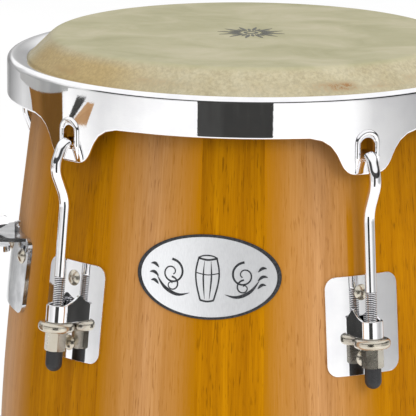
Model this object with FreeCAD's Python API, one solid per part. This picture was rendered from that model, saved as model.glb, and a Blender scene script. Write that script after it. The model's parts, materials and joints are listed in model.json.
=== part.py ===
import FreeCAD, Part
import math
import os

# One conga drum: stave shell, tensioned head, comfort rim, five hook-and-nut tuners, badge and
# stand bracket. Millimetres and degrees. Origin: centre of the foot, on the floor. +Z runs up the
# drum's axis and the badge faces -Y. Angles round the drum start at -Y and grow towards +X.

# Overall sizes
OVERALL_HEIGHT = 762.0
HEAD_RISE = 17.0
RIM_LINE = OVERALL_HEIGHT - HEAD_RISE
FIT_GAP = 0.3
SEAT_GAP = 0.05

# Shell: outer radius against height, from the foot up to the bearing edge
FOOT_HEIGHT = 6.0
SHELL_OUTLINE = [
    (125.3, FOOT_HEIGHT),
    (142.0, 85.0),
    (160.5, 190.0),
    (173.0, 300.0),
    (178.5, 415.0),
    (174.0, 530.0),
    (166.5, 605.0),
    (156.8, 685.0),
    (149.2, 748.4),
]
SHELL_WALL = 11.0
BEARING_EDGE_TOP = 759.4
BEARING_EDGE_INSET = 11.3
BEARING_EDGE_SHOULDER = (143.9, 754.0)

# Staves: one quarter of the drum holds two golden and two tan ones, each given as (start, width)
QUARTER = 90.0
GOLD_STAVES = [(-50.5, 23.5), (-2.7, 15.4)]
TAN_STAVES = [(-27.0, 24.3), (12.7, 26.8)]
UPPER_HOOP = {"low": 690.0, "high": 725.0, "thickness": 6.0}
LOWER_HOOP = {"low": 20.0, "high": 60.0, "thickness": 8.0}
FOOT_RING_INNER = 112.0
FOOT_RING_OUTER = 127.5
FOOT_RING_EDGE = 1.5

# Head: skin, its flesh hoop and the collar that goes under the rim. The skin is flat up to
# SKIN_FLAT_RADIUS, turns with SKIN_SHOULDER and falls at 45 degrees to its hem.
SKIN_THICKNESS = 2.0
SKIN_FLAT_RADIUS = 136.0
SKIN_SHOULDER = 8.7
SKIN_HEM_RISE = -0.8
SKIN_HEM_INSIDE_RISE = -1.65
SKIN_TUCK_ANGLE = 150.0
SKIN_TUCK_UNDER = 172.0
SKIN_WRAP_END = 430.0
FLESH_HOOP_RADIUS = 162.6
FLESH_HOOP_HEIGHT = RIM_LINE - 8.6
FLESH_HOOP_WIRE = 4.0
SKIN_WRAP_OUTER = 6.0

# Rim: rolled comfort band, wall and one eyed lobe over each tuner. Places on the band are
# (radius, rise above the rim line).
RIM_LIP_TOP = (158.4, 0.0)
RIM_LIP_EDGE = (157.8, -1.0)
RIM_LIP_UNDER = (158.4, -2.0)
RIM_SLOPE_TOP = (163.2, 1.7)
RIM_SLOPE_UNDER = (163.2, -0.6)
RIM_CREST = (167.8, 2.4)
RIM_CREST_UNDER = (167.8, -0.2)
RIM_SHOULDER = -1.5
RIM_WALL_OUTER = 171.7
RIM_WALL_INNER = 169.1
RIM_DEPTH = 25.5
LOBE_DEPTH = 52.0
EYE_HALF_WIDTH = 5.5
EYE_TOP = 26.7
EYE_BOTTOM = 43.1
BEAD_HALF_WIDTH = 9.0
BEAD_TOP = 21.4
BEAD_BOTTOM = 48.0
BEAD_PROUD = 1.7

# Tuners: five hooks on M8 rods
TUNER_ANGLES = [-36.0, 36.0, 108.0, 180.0, 252.0]
ROD_RADIUS = 4.0
ROD_LEAN = 5.6
NUT_SEAT_DEPTH = 161.3
HOOK_CORNERS = [(163.8, 47.5), (163.8, 38.7), (177.2, 38.7), (184.6, 54.5), (174.9, 77.0)]
HOOK_RADII = [5.0, 6.0, 16.0, 26.0]
ROD_END_DEPTH = 190.5
STRAP_OUTER = 7.7
STRAP_THICKNESS = 2.0
STRAP_HEIGHT = 12.0
STRAP_PEAK = 19.0
STRAP_LEG = 24.0
WASHER_BORE = 4.4
WASHER_TOP_RADIUS = 10.2
WASHER_RADIUS = 12.4
WASHER_LOW_RADIUS = 10.4
WASHER_WIDEST = 2.9
WASHER_HEIGHT = 6.5
NUT_ACROSS_FLATS = 13.0
NUT_HEIGHT = 13.3
NUT_BOSS_RADIUS = 4.9
NUT_BOSS_HEIGHT = 3.0
CAP_RADIUS = 5.65
CAP_LENGTH = 14.4
CAP_POCKET = 11.0

# Side plates under the tuners, and the bolts that hold them
PLATE_WIDTH = 55.0
PLATE_SHIFT = 0.8
PLATE_TOP = 121.8
PLATE_BOTTOM = 188.8
PLATE_CORNER = 8.0
PLATE_THICKNESS = 1.7
PLATE_BOLT_DEPTHS = [133.5, 178.0]
BOLT_RADIUS = 3.0
BOLT_HOLE_RADIUS = 3.3
BOLT_HEAD_RADIUS = 5.8
BOLT_HEAD_HEIGHT = 3.6
BOLT_HEAD_SINK = 0.6
BOLT_TAIL = 4.0
BACKING_WIDTH = 20.0
BACKING_THICKNESS = 2.0
BACKING_MARGIN = 11.0
INNER_NUT_HEIGHT = 6.0
INNER_NUT_FLATS = 10.0
INNER_NUT_GAP = 0.8

# Badge
BADGE_ANGLE = -0.45
BADGE_DEPTH = 120.8
BADGE_WIDTH = 99.0
BADGE_HEIGHT = 56.5
BADGE_THICKNESS = 1.4

# Stand bracket on the drum's left side
BRACKET_ANGLE = -68.0
BRACKET_WIDTH = 66.5
BRACKET_TOP = 119.4
BRACKET_BOTTOM = 172.4
BRACKET_CORNER = 8.0
BRACKET_THICKNESS = 2.8
BRACKET_BOLT_DEPTH = 133.2
BRACKET_BOLT_SPREAD = 7.4
TONGUE_START = 164.0
TONGUE_END = 206.0
TONGUE_ROOT_HALF_WIDTH = 26.5
TONGUE_END_HALF_WIDTH = 14.0
TONGUE_TOP = BRACKET_TOP
TONGUE_THICKNESS = 2.8
TONGUE_CORNER = 7.0
RELIEF_WIDTH = 2.6
RELIEF_DEPTH = 0.4
CLAMP_AXIS = 188.5
CLAMP_BOLT_RADIUS = 4.0
CLAMP_BOLT_RISE = 14.5
CLAMP_HEAD_RADIUS = 8.0
CLAMP_HEAD_HEIGHT = 3.2
CLAMP_HEAD_ROUNDING = 1.4
CLAMP_WASHER_RADIUS = 9.0
CLAMP_WASHER_HEIGHT = 1.8
CLAMP_GAP = 5.0
JAW_HALF_WIDTH = 15.0
JAW_THICKNESS = 4.0
JAW_CORNER = 6.0
EAR_END = 169.0
EAR_HEIGHT = 6.8
EAR_THICKNESS = 3.0
EAR_ROUNDING = 2.0
EAR_HOLE_RADIUS = 1.4
EAR_HOLE = (166.3, 3.9)
WING_HUB = {"low_radius": 7.2, "high_radius": 5.8, "height": 9.5}
WING_OUTLINE = [(4.9, 1.0), (9.6, 0.6), (16.4, 4.4), (13.6, 9.6), (4.9, 6.4)]
WING_THICKNESS = 3.2
WING_ROUNDING = 2.4

UP = FreeCAD.Vector(0, 0, 1)
CENTRE = FreeCAD.Vector(0, 0, 0)
FAR = 260.0
LAYER_SWEEP = 120.0


def section_point(radius, height):
    """A point of a section drawn in the half plane y = 0."""
    return FreeCAD.Vector(radius, 0, height)


def below(depth):
    """The height that lies this far below the rim line."""
    return RIM_LINE - depth


def line(start, end):
    return Part.LineSegment(start, end).toShape()


def arc(start, middle, end):
    return Part.Arc(start, middle, end).toShape()


def face_of(edges):
    return Part.Face(Part.Wire(Part.__sortEdges__(edges)))


def polygon_face(points):
    return Part.Face(Part.makePolygon(points + [points[0]]))


def turned(section, angle=360.0):
    """A section in the half plane y = 0, revolved about the drum's axis."""
    return section.revolve(CENTRE, UP, angle)


def placed(shape, angle):
    """Turn a piece made with its outward direction along +X to its angle round the drum."""
    copy = shape.copy()
    copy.rotate(CENTRE, UP, angle - 90.0)
    return copy


def tilted(shape):
    """Stand a piece made along +Z at the origin on the tuner's leaning axis, at the nut seat."""
    copy = shape.copy()
    copy.rotate(CENTRE, FreeCAD.Vector(0, 1, 0), -ROD_LEAN)
    copy.translate(FreeCAD.Vector(rod_radius_at(NUT_SEAT_DEPTH), 0, below(NUT_SEAT_DEPTH)))
    return copy


def rod_radius_at(depth):
    """Distance of the lower rod's axis from the drum's axis."""
    corner_radius, corner_depth = HOOK_CORNERS[-1]
    return corner_radius + (depth - corner_depth) * math.tan(math.radians(ROD_LEAN))


def save(name, solids):
    """Write one node, as one solid or as a group of separate solids."""
    shape = solids[0] if len(solids) == 1 else Part.makeCompound(solids)
    shape.exportStep("parts/" + name + ".step")
    print(name, len(shape.Solids), round(shape.Volume / 1000.0, 2), shape.isValid())


def shell_edge(offset):
    """The shell's outline moved outwards by an offset, as one smooth curve."""
    curve = Part.BSplineCurve()
    curve.interpolate([section_point(r + offset, z) for r, z in SHELL_OUTLINE])
    return curve.toShape()


def shell_layer_section(inner_offset, outer_offset):
    """The section of a layer of constant thickness that follows the shell's outline."""
    low_radius, low = SHELL_OUTLINE[0]
    high_radius, high = SHELL_OUTLINE[-1]
    inner_low = section_point(low_radius + inner_offset, low)
    outer_low = section_point(low_radius + outer_offset, low)
    inner_high = section_point(high_radius + inner_offset, high)
    outer_high = section_point(high_radius + outer_offset, high)
    edges = [shell_edge(inner_offset), shell_edge(outer_offset)]
    edges += [line(inner_low, outer_low), line(inner_high, outer_high)]
    return face_of(edges)


def shell_layer(inner_offset, outer_offset):
    """A layer on the shell over a third of its round, centred on +X."""
    layer = turned(shell_layer_section(inner_offset, outer_offset), LAYER_SWEEP)
    layer.rotate(CENTRE, UP, -LAYER_SWEEP / 2.0)
    return layer


def radial_hole(height, radius):
    """A drill along +X through one side of the shell at a height."""
    return Part.makeCylinder(radius, FAR, FreeCAD.Vector(0, 0, height), FreeCAD.Vector(1, 0, 0))


def rounded_panel(width, low, high, corner, shift=0.0):
    """A prism along +X whose cross-section is a rounded rectangle, centred on y = shift."""
    start = FAR / 3.0
    box = Part.makeBox(FAR - start, width, high - low, FreeCAD.Vector(start, shift - width / 2.0, low))
    upright = [e for e in box.Edges if abs(e.tangentAt(e.FirstParameter).x) > 0.9]
    return box.makeFillet(corner, upright)


def stave_section():
    """The staves' section: outer and inner curves, with a rounded bearing edge on top."""
    low_radius, low = SHELL_OUTLINE[0]
    high_radius, high = SHELL_OUTLINE[-1]
    outer_low = section_point(low_radius, low)
    inner_low = section_point(low_radius - SHELL_WALL, low)
    outer_high = section_point(high_radius, high)
    inner_high = section_point(high_radius - SHELL_WALL, high)
    crown = section_point(high_radius - BEARING_EDGE_INSET, BEARING_EDGE_TOP)
    edges = [shell_edge(0.0), shell_edge(-SHELL_WALL), line(inner_low, outer_low)]
    edges += [arc(outer_high, section_point(*BEARING_EDGE_SHOULDER), crown), line(crown, inner_high)]
    return face_of(edges)


def bracket_bolt_angles():
    """The angles of the bracket's two bolts."""
    return [BRACKET_ANGLE - BRACKET_BOLT_SPREAD, BRACKET_ANGLE + BRACKET_BOLT_SPREAD]


def bolt_drills():
    """Every bolt hole through the shell, with the angle that it is drilled at."""
    drills = []
    for angle in TUNER_ANGLES:
        for depth in PLATE_BOLT_DEPTHS:
            drills.append((angle, placed(radial_hole(below(depth), BOLT_HOLE_RADIUS), angle)))
    for angle in bracket_bolt_angles():
        drills.append((angle, placed(radial_hole(below(BRACKET_BOLT_DEPTH), BOLT_HOLE_RADIUS), angle)))
    return drills


def make_staves(kind):
    """One kind of stave, repeated in each quarter, each drilled where a bolt passes it."""
    section = stave_section()
    drills = bolt_drills()
    staves = []
    for quarter in range(4):
        for first, width in kind:
            start = first + quarter * QUARTER
            stave = placed(turned(section, width), start)
            for angle, drill in drills:
                if (angle - start) % 360.0 < width:
                    stave = stave.cut(drill)
            staves.append(stave.Solids[0])
    return staves


def make_hoop(hoop):
    """A reinforcing hoop glued inside the shell."""
    inner = -SHELL_WALL - hoop["thickness"]
    layer = turned(shell_layer_section(inner, -SHELL_WALL - SEAT_GAP))
    height = hoop["high"] - hoop["low"]
    slab = Part.makeCylinder(FAR, height, FreeCAD.Vector(0, 0, hoop["low"]))
    return layer.common(slab).Solids[0]


def make_foot_ring():
    """The rubber ring that the drum stands on."""
    edge = FOOT_RING_EDGE
    top = FOOT_HEIGHT - SEAT_GAP
    points = [
        section_point(FOOT_RING_INNER + edge, 0),
        section_point(FOOT_RING_OUTER - edge, 0),
        section_point(FOOT_RING_OUTER, edge),
        section_point(FOOT_RING_OUTER, top),
        section_point(FOOT_RING_INNER, top),
        section_point(FOOT_RING_INNER, edge),
    ]
    return turned(polygon_face(points))


def ring_point(radius, angle):
    """A point round the flesh hoop's section, at a radius and angle from its centre."""
    a = math.radians(angle)
    height = FLESH_HOOP_HEIGHT + radius * math.sin(a)
    return section_point(FLESH_HOOP_RADIUS + radius * math.cos(a), height)


def skin_wrap():
    """The skin's edge, wrapped under the flesh hoop and tucked up outside it."""
    inner = FLESH_HOOP_WIRE + FIT_GAP
    middle = (SKIN_TUCK_ANGLE + SKIN_WRAP_END) / 2.0
    edges = []
    for radius in (SKIN_WRAP_OUTER, inner):
        edges.append(arc(ring_point(radius, SKIN_TUCK_ANGLE), ring_point(radius, middle),
                         ring_point(radius, SKIN_WRAP_END)))
    for angle in (SKIN_TUCK_ANGLE, SKIN_WRAP_END):
        edges.append(line(ring_point(SKIN_WRAP_OUTER, angle), ring_point(inner, angle)))
    return turned(face_of(edges))


def shoulder_point(angle, inward):
    """A point of the skin's rounded shoulder, that far inside its outer face, at an angle."""
    a = math.radians(angle)
    radius = SKIN_SHOULDER - inward
    height = OVERALL_HEIGHT - SKIN_SHOULDER + radius * math.sin(a)
    return section_point(SKIN_FLAT_RADIUS + radius * math.cos(a), height)


def slope_end(start, rise):
    """Where a 45 degree slope from start reaches a rise above the rim line."""
    height = RIM_LINE + rise
    return section_point(start.x + start.z - height, height)


def make_head_skin():
    """The skin: flat playing face, rounded shoulder and collar down to the flesh hoop."""
    shoulder = [shoulder_point(angle, 0.0) for angle in (90.0, 67.5, 45.0)]
    inner_shoulder = [shoulder_point(angle, SKIN_THICKNESS) for angle in (90.0, 67.5, 45.0)]
    hem = slope_end(shoulder[-1], SKIN_HEM_RISE)
    inner_hem = slope_end(inner_shoulder[-1], SKIN_HEM_INSIDE_RISE)
    tuck = ring_point(SKIN_WRAP_OUTER - 0.4, SKIN_TUCK_ANGLE)
    inner_tuck = ring_point(SKIN_WRAP_OUTER - 0.2, SKIN_TUCK_UNDER)
    axis_top = section_point(0, OVERALL_HEIGHT)
    axis_under = section_point(0, OVERALL_HEIGHT - SKIN_THICKNESS)
    edges = [
        line(axis_under, axis_top),
        line(axis_top, shoulder[0]),
        arc(*shoulder),
        line(shoulder[-1], hem),
        line(hem, tuck),
        line(tuck, inner_tuck),
        line(inner_tuck, inner_hem),
        line(inner_hem, inner_shoulder[-1]),
        arc(*inner_shoulder),
        line(inner_shoulder[0], axis_under),
    ]
    return turned(face_of(edges)).fuse(skin_wrap()).removeSplitter().Solids[0]


def make_flesh_hoop():
    """The steel ring that the skin is mounted on."""
    section = Part.makeCircle(FLESH_HOOP_WIRE, ring_point(0, 0), FreeCAD.Vector(0, 1, 0))
    return turned(Part.Face(Part.Wire(section)))


def rim_point(place):
    """A point of the rim's section, given as (radius, rise above the rim line)."""
    return section_point(place[0], RIM_LINE + place[1])


def quarter_turn(crest, side):
    """The quarter circle from a crest out and down to an upright side."""
    radius = side.x - crest.x
    slant = radius * math.sqrt(0.5)
    return arc(crest, section_point(crest.x + slant, side.z + slant), side)


def rim_band():
    """The rim's rolled top and its wall, without the lobes."""
    lip_top, lip_under = rim_point(RIM_LIP_TOP), rim_point(RIM_LIP_UNDER)
    crest, crest_under = rim_point(RIM_CREST), rim_point(RIM_CREST_UNDER)
    wall_top = rim_point((RIM_WALL_OUTER, RIM_SHOULDER))
    inner_wall_top = rim_point((RIM_WALL_INNER, RIM_SHOULDER))
    wall_end = rim_point((RIM_WALL_OUTER, -RIM_DEPTH))
    inner_wall_end = rim_point((RIM_WALL_INNER, -RIM_DEPTH))
    edges = [
        arc(lip_top, rim_point(RIM_SLOPE_TOP), crest),
        quarter_turn(crest, wall_top),
        line(wall_top, wall_end),
        line(wall_end, inner_wall_end),
        line(inner_wall_end, inner_wall_top),
        quarter_turn(crest_under, inner_wall_top),
        arc(crest_under, rim_point(RIM_SLOPE_UNDER), lip_under),
        arc(lip_under, rim_point(RIM_LIP_EDGE), lip_top),
    ]
    return turned(face_of(edges))


def wall_ring(outer, low_depth, high_depth):
    """A stretch of the rim's wall as a plain ring."""
    height = low_depth - high_depth
    base = FreeCAD.Vector(0, 0, below(low_depth))
    return Part.makeCylinder(outer, height, base).cut(Part.makeCylinder(RIM_WALL_INNER, height, base))


def facing_point(across, depth):
    """A point of an outline that is seen square on from outside the drum."""
    return FreeCAD.Vector(0, across, below(depth))


def lobe_outline():
    """The lobe's outline: hollow shoulders, a small step and a round tip."""
    half = [(41.0, RIM_DEPTH), (33.0, 27.7), (26.5, 31.4), (22.0, 37.0), (19.3, 43.5)]
    tip = [(19.3, 43.5), (15.3, 49.0), (9.6, LOBE_DEPTH)]
    edges = []
    for side in (-1, 1):
        shoulder = Part.BSplineCurve()
        shoulder.interpolate([facing_point(side * across, depth) for across, depth in half])
        edges.append(shoulder.toShape())
        edges.append(arc(*[facing_point(side * across, depth) for across, depth in tip]))
    edges.append(line(facing_point(-9.6, LOBE_DEPTH), facing_point(9.6, LOBE_DEPTH)))
    top = RIM_DEPTH - 1.0
    edges.append(line(facing_point(-41.0, RIM_DEPTH), facing_point(-41.0, top)))
    edges.append(line(facing_point(41.0, RIM_DEPTH), facing_point(41.0, top)))
    edges.append(line(facing_point(-41.0, top), facing_point(41.0, top)))
    return face_of(edges)


def arched_outline(half_width, top, bottom, end_radius):
    """An outline with a half-round top and rounded lower corners."""
    spring = top + half_width
    turn = bottom - end_radius
    diagonal = end_radius * (1.0 - math.sqrt(0.5))
    edges = [arc(facing_point(-half_width, spring), facing_point(0, top), facing_point(half_width, spring))]
    for side in (-1, 1):
        outer = side * half_width
        edges.append(line(facing_point(outer, spring), facing_point(outer, turn)))
        edges.append(arc(facing_point(outer, turn),
                         facing_point(outer - side * diagonal, bottom - diagonal),
                         facing_point(outer - side * end_radius, bottom)))
    inner = half_width - end_radius
    edges.append(line(facing_point(-inner, bottom), facing_point(inner, bottom)))
    return face_of(edges)


def make_rim():
    """The rim: band and wall, five lobes, and a beaded eye in each lobe."""
    outward = FreeCAD.Vector(FAR, 0, 0)
    lobe = lobe_outline().extrude(outward).common(wall_ring(RIM_WALL_OUTER, LOBE_DEPTH, RIM_DEPTH - 1.0))
    bead = arched_outline(BEAD_HALF_WIDTH, BEAD_TOP, BEAD_BOTTOM, 3.0).extrude(outward)
    bead = bead.common(wall_ring(RIM_WALL_OUTER + BEAD_PROUD, BEAD_BOTTOM, BEAD_TOP))
    channel = arched_outline(EYE_HALF_WIDTH, EYE_TOP, BEAD_BOTTOM + 8.0, 2.0).extrude(outward)
    bead = bead.cut(channel.cut(wall_ring(RIM_WALL_OUTER, LOBE_DEPTH + 10.0, 0.0)))
    eye = arched_outline(EYE_HALF_WIDTH, EYE_TOP, EYE_BOTTOM, 1.5).extrude(outward)
    rim = rim_band()
    for angle in TUNER_ANGLES:
        rim = rim.fuse(placed(lobe.fuse(bead), angle)).cut(placed(eye, angle))
    return rim.removeSplitter().Solids[0]


def rounded_path(corners, radii):
    """A path of straight runs joined by tangent arcs, one arc at each inner corner."""
    edges = []
    start = corners[0]
    for index, radius in enumerate(radii):
        corner = corners[index + 1]
        back = (corners[index] - corner).normalize()
        ahead = (corners[index + 2] - corner).normalize()
        half_turn = (math.pi - back.getAngle(ahead)) / 2.0
        reach = radius * math.tan(half_turn)
        inward = (back + ahead).normalize()
        middle = corner + inward * (radius / math.cos(half_turn) - radius)
        edges.append(line(start, corner + back * reach))
        edges.append(arc(corner + back * reach, middle, corner + ahead * reach))
        start = corner + ahead * reach
    edges.append(line(start, corners[-1]))
    return Part.Wire(edges)


def make_tuning_rod():
    """One rod: hook over the rim's eye, swan neck and straight leaning leg."""
    corners = [section_point(r, below(depth)) for r, depth in HOOK_CORNERS]
    corners.append(section_point(rod_radius_at(ROD_END_DEPTH), below(ROD_END_DEPTH)))
    path = rounded_path(corners, HOOK_RADII)
    section = Part.Wire(Part.makeCircle(ROD_RADIUS, corners[0], UP))
    rod = path.makePipeShell([section], True, False)
    expected = math.pi * ROD_RADIUS ** 2 * path.Length
    print("rod volume over section times length:", round(rod.Volume / expected, 4))
    return rod


def hexagon(flats, height, base):
    radius = flats / math.sqrt(3.0)
    corners = []
    for index in range(6):
        a = math.radians(60.0 * index)
        corners.append(FreeCAD.Vector(radius * math.cos(a), radius * math.sin(a), base))
    return polygon_face(corners).extrude(FreeCAD.Vector(0, 0, height))


def chamfered_hexagon(flats, height, base):
    """A hexagon whose corners are turned down at both ends."""
    radius = flats / math.sqrt(3.0)
    face = flats / 2.0
    rise = (radius - face) * 0.5
    points = [
        section_point(0, base),
        section_point(face, base),
        section_point(radius, base + rise),
        section_point(radius, base + height - rise),
        section_point(face, base + height),
        section_point(0, base + height),
    ]
    return hexagon(flats, height, base).common(turned(polygon_face(points)))


def make_tuning_nut():
    """A hexagon nut with a short boss that holds its end cap."""
    top = -WASHER_HEIGHT - 2.0 * SEAT_GAP
    low = top - NUT_HEIGHT
    nut = chamfered_hexagon(NUT_ACROSS_FLATS, NUT_HEIGHT, low)
    boss_foot = FreeCAD.Vector(0, 0, low - NUT_BOSS_HEIGHT)
    boss = Part.makeCylinder(NUT_BOSS_RADIUS, NUT_BOSS_HEIGHT + 0.5, boss_foot)
    bore = Part.makeCylinder(ROD_RADIUS + SEAT_GAP, 30.0, FreeCAD.Vector(0, 0, low - 10.0))
    return nut.fuse(boss).cut(bore).removeSplitter().Solids[0]


def make_nut_cap():
    """A domed rubber cap over the rod's end, pushed onto the nut's boss."""
    top = -WASHER_HEIGHT - 3.0 * SEAT_GAP - NUT_HEIGHT
    low = top - CAP_LENGTH
    spring = low + CAP_RADIUS
    bend = math.sqrt(0.5) * CAP_RADIUS
    edges = [
        line(section_point(0, top), section_point(CAP_RADIUS, top)),
        line(section_point(CAP_RADIUS, top), section_point(CAP_RADIUS, spring)),
        arc(section_point(CAP_RADIUS, spring), section_point(bend, spring - bend), section_point(0, low)),
        line(section_point(0, low), section_point(0, top)),
    ]
    body = turned(face_of(edges))
    socket_depth = NUT_BOSS_HEIGHT + SEAT_GAP
    socket_base = FreeCAD.Vector(0, 0, top - socket_depth)
    socket = Part.makeCylinder(NUT_BOSS_RADIUS + SEAT_GAP, socket_depth, socket_base)
    pocket_base = FreeCAD.Vector(0, 0, top - CAP_POCKET)
    pocket = Part.makeCylinder(ROD_RADIUS + FIT_GAP, CAP_POCKET, pocket_base)
    return body.cut(socket).cut(pocket).Solids[0]


def quarter_round(end, widest):
    """A curve that leaves a flat end and meets the widest point upright."""
    slant = math.sqrt(0.5)
    middle_radius = end.x + (widest.x - end.x) * slant
    middle_height = widest.z + (end.z - widest.z) * slant
    return arc(end, section_point(middle_radius, middle_height), widest)


def make_seat_washer():
    """The domed washer between a strap and its nut."""
    top = -SEAT_GAP
    low = top - WASHER_HEIGHT + SEAT_GAP
    bore_top, bore_low = section_point(WASHER_BORE, top), section_point(WASHER_BORE, low)
    shoulder, foot = section_point(WASHER_TOP_RADIUS, top), section_point(WASHER_LOW_RADIUS, low)
    widest = section_point(WASHER_RADIUS, top - WASHER_WIDEST)
    edges = [
        line(bore_top, shoulder),
        quarter_round(shoulder, widest),
        quarter_round(foot, widest),
        line(foot, bore_low),
        line(bore_low, bore_top),
    ]
    return turned(face_of(edges))


def strap_plan(radius, back):
    """The strap's plan: a half circle round the rod with straight legs towards the shell."""
    edges = [
        arc(FreeCAD.Vector(0, -radius, 0), FreeCAD.Vector(radius, 0, 0), FreeCAD.Vector(0, radius, 0)),
        line(FreeCAD.Vector(0, radius, 0), FreeCAD.Vector(-back, radius, 0)),
        line(FreeCAD.Vector(-back, radius, 0), FreeCAD.Vector(-back, -radius, 0)),
        line(FreeCAD.Vector(-back, -radius, 0), FreeCAD.Vector(0, -radius, 0)),
    ]
    return face_of(edges)


def make_strap():
    """The strap that holds a rod off its plate, taller where it meets the plate."""
    back = STRAP_LEG
    tall = FreeCAD.Vector(0, 0, 30.0)
    band = strap_plan(STRAP_OUTER, back).extrude(tall)
    band = band.cut(strap_plan(STRAP_OUTER - STRAP_THICKNESS, back + 1.0).extrude(tall))
    side_edges = [
        line(section_point(12.0, 0), section_point(12.0, STRAP_HEIGHT)),
        line(section_point(12.0, STRAP_HEIGHT), section_point(1.0, STRAP_HEIGHT)),
        arc(section_point(1.0, STRAP_HEIGHT), section_point(-6.0, STRAP_HEIGHT + 1.2),
            section_point(-12.0, STRAP_PEAK)),
        line(section_point(-12.0, STRAP_PEAK), section_point(-back, STRAP_PEAK)),
        line(section_point(-back, STRAP_PEAK), section_point(-back, 0)),
        line(section_point(-back, 0), section_point(12.0, 0)),
    ]
    side = face_of(side_edges)
    side.translate(FreeCAD.Vector(0, -20.0, 0))
    return band.common(side.extrude(FreeCAD.Vector(0, 40.0, 0)))


def make_side_plate():
    """A curved plate on the shell with its welded strap and two bolt holes."""
    layer = shell_layer(SEAT_GAP, SEAT_GAP + PLATE_THICKNESS)
    panel = rounded_panel(PLATE_WIDTH, below(PLATE_BOTTOM), below(PLATE_TOP), PLATE_CORNER, PLATE_SHIFT)
    plate = layer.common(panel)
    for depth in PLATE_BOLT_DEPTHS:
        plate = plate.cut(radial_hole(below(depth), BOLT_HOLE_RADIUS))
    weld_depth = SEAT_GAP + PLATE_THICKNESS / 2.0
    strap = tilted(make_strap()).cut(shell_layer(-FAR / 4.0, weld_depth))
    strap = max(strap.Solids, key=lambda solid: solid.CenterOfMass.x)
    return plate.fuse(strap).removeSplitter().Solids[0]


def shell_radius_at(height):
    """The shell's outer radius at a height."""
    cut = line(section_point(0, height), section_point(FAR, height))
    return shell_edge(0.0).distToShape(cut)[1][0][0].x


def make_bolt(height, plate_thickness, backing):
    """A domed bolt along +X through plate, shell and backing strip."""
    outside = shell_radius_at(height) + SEAT_GAP * 2.0 + plate_thickness - BOLT_HEAD_SINK
    inside = outside - plate_thickness - SHELL_WALL - backing - INNER_NUT_HEIGHT - BOLT_TAIL
    length = outside + 3.0 * BOLT_HEAD_SINK - inside
    shank = Part.makeCylinder(BOLT_RADIUS, length, FreeCAD.Vector(inside, 0, height), FreeCAD.Vector(1, 0, 0))
    ball_radius = (BOLT_HEAD_RADIUS ** 2 + BOLT_HEAD_HEIGHT ** 2) / (2.0 * BOLT_HEAD_HEIGHT)
    ball_centre = FreeCAD.Vector(outside + BOLT_HEAD_HEIGHT - ball_radius, 0, height)
    slab = Part.makeBox(BOLT_HEAD_HEIGHT, 40.0, 40.0, FreeCAD.Vector(outside, -20.0, height - 20.0))
    head = Part.makeSphere(ball_radius, ball_centre).common(slab)
    head = head.cut(shell_layer(-FAR / 4.0, plate_thickness + 2.0 * SEAT_GAP))
    return shank.fuse(head).removeSplitter().Solids[0]


def make_backing(depths):
    """A steel strip inside the shell behind a pair of bolts."""
    low = below(depths[-1]) - BACKING_MARGIN
    high = below(depths[0]) + BACKING_MARGIN
    inner = -SHELL_WALL - SEAT_GAP - BACKING_THICKNESS
    strip = shell_layer(inner, -SHELL_WALL - SEAT_GAP).common(rounded_panel(BACKING_WIDTH, low, high, 4.0))
    for depth in depths:
        strip = strip.cut(radial_hole(below(depth), BOLT_HOLE_RADIUS))
    return strip.Solids[0]


def make_inner_nut(height):
    """A hexagon nut on a bolt's inner end, against the backing strip."""
    seat = shell_radius_at(height) - SHELL_WALL - BACKING_THICKNESS - INNER_NUT_GAP
    nut = chamfered_hexagon(INNER_NUT_FLATS, INNER_NUT_HEIGHT, 0.0)
    nut = nut.cut(Part.makeCylinder(BOLT_RADIUS + SEAT_GAP, INNER_NUT_HEIGHT))
    nut.rotate(CENTRE, FreeCAD.Vector(0, 1, 0), -90.0)
    nut.translate(FreeCAD.Vector(seat, 0, height))
    return nut.Solids[0]


def make_badge():
    """The oval metal badge, bent to the shell."""
    outline = Part.Ellipse(CENTRE, BADGE_WIDTH / 2.0, BADGE_HEIGHT / 2.0).toShape()
    face = Part.Face(Part.Wire(outline))
    face.rotate(CENTRE, FreeCAD.Vector(1, 1, 1), 120.0)
    face.translate(FreeCAD.Vector(0, 0, below(BADGE_DEPTH)))
    prism = face.extrude(FreeCAD.Vector(FAR, 0, 0))
    return shell_layer(SEAT_GAP, SEAT_GAP + BADGE_THICKNESS).common(prism).Solids[0]


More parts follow.
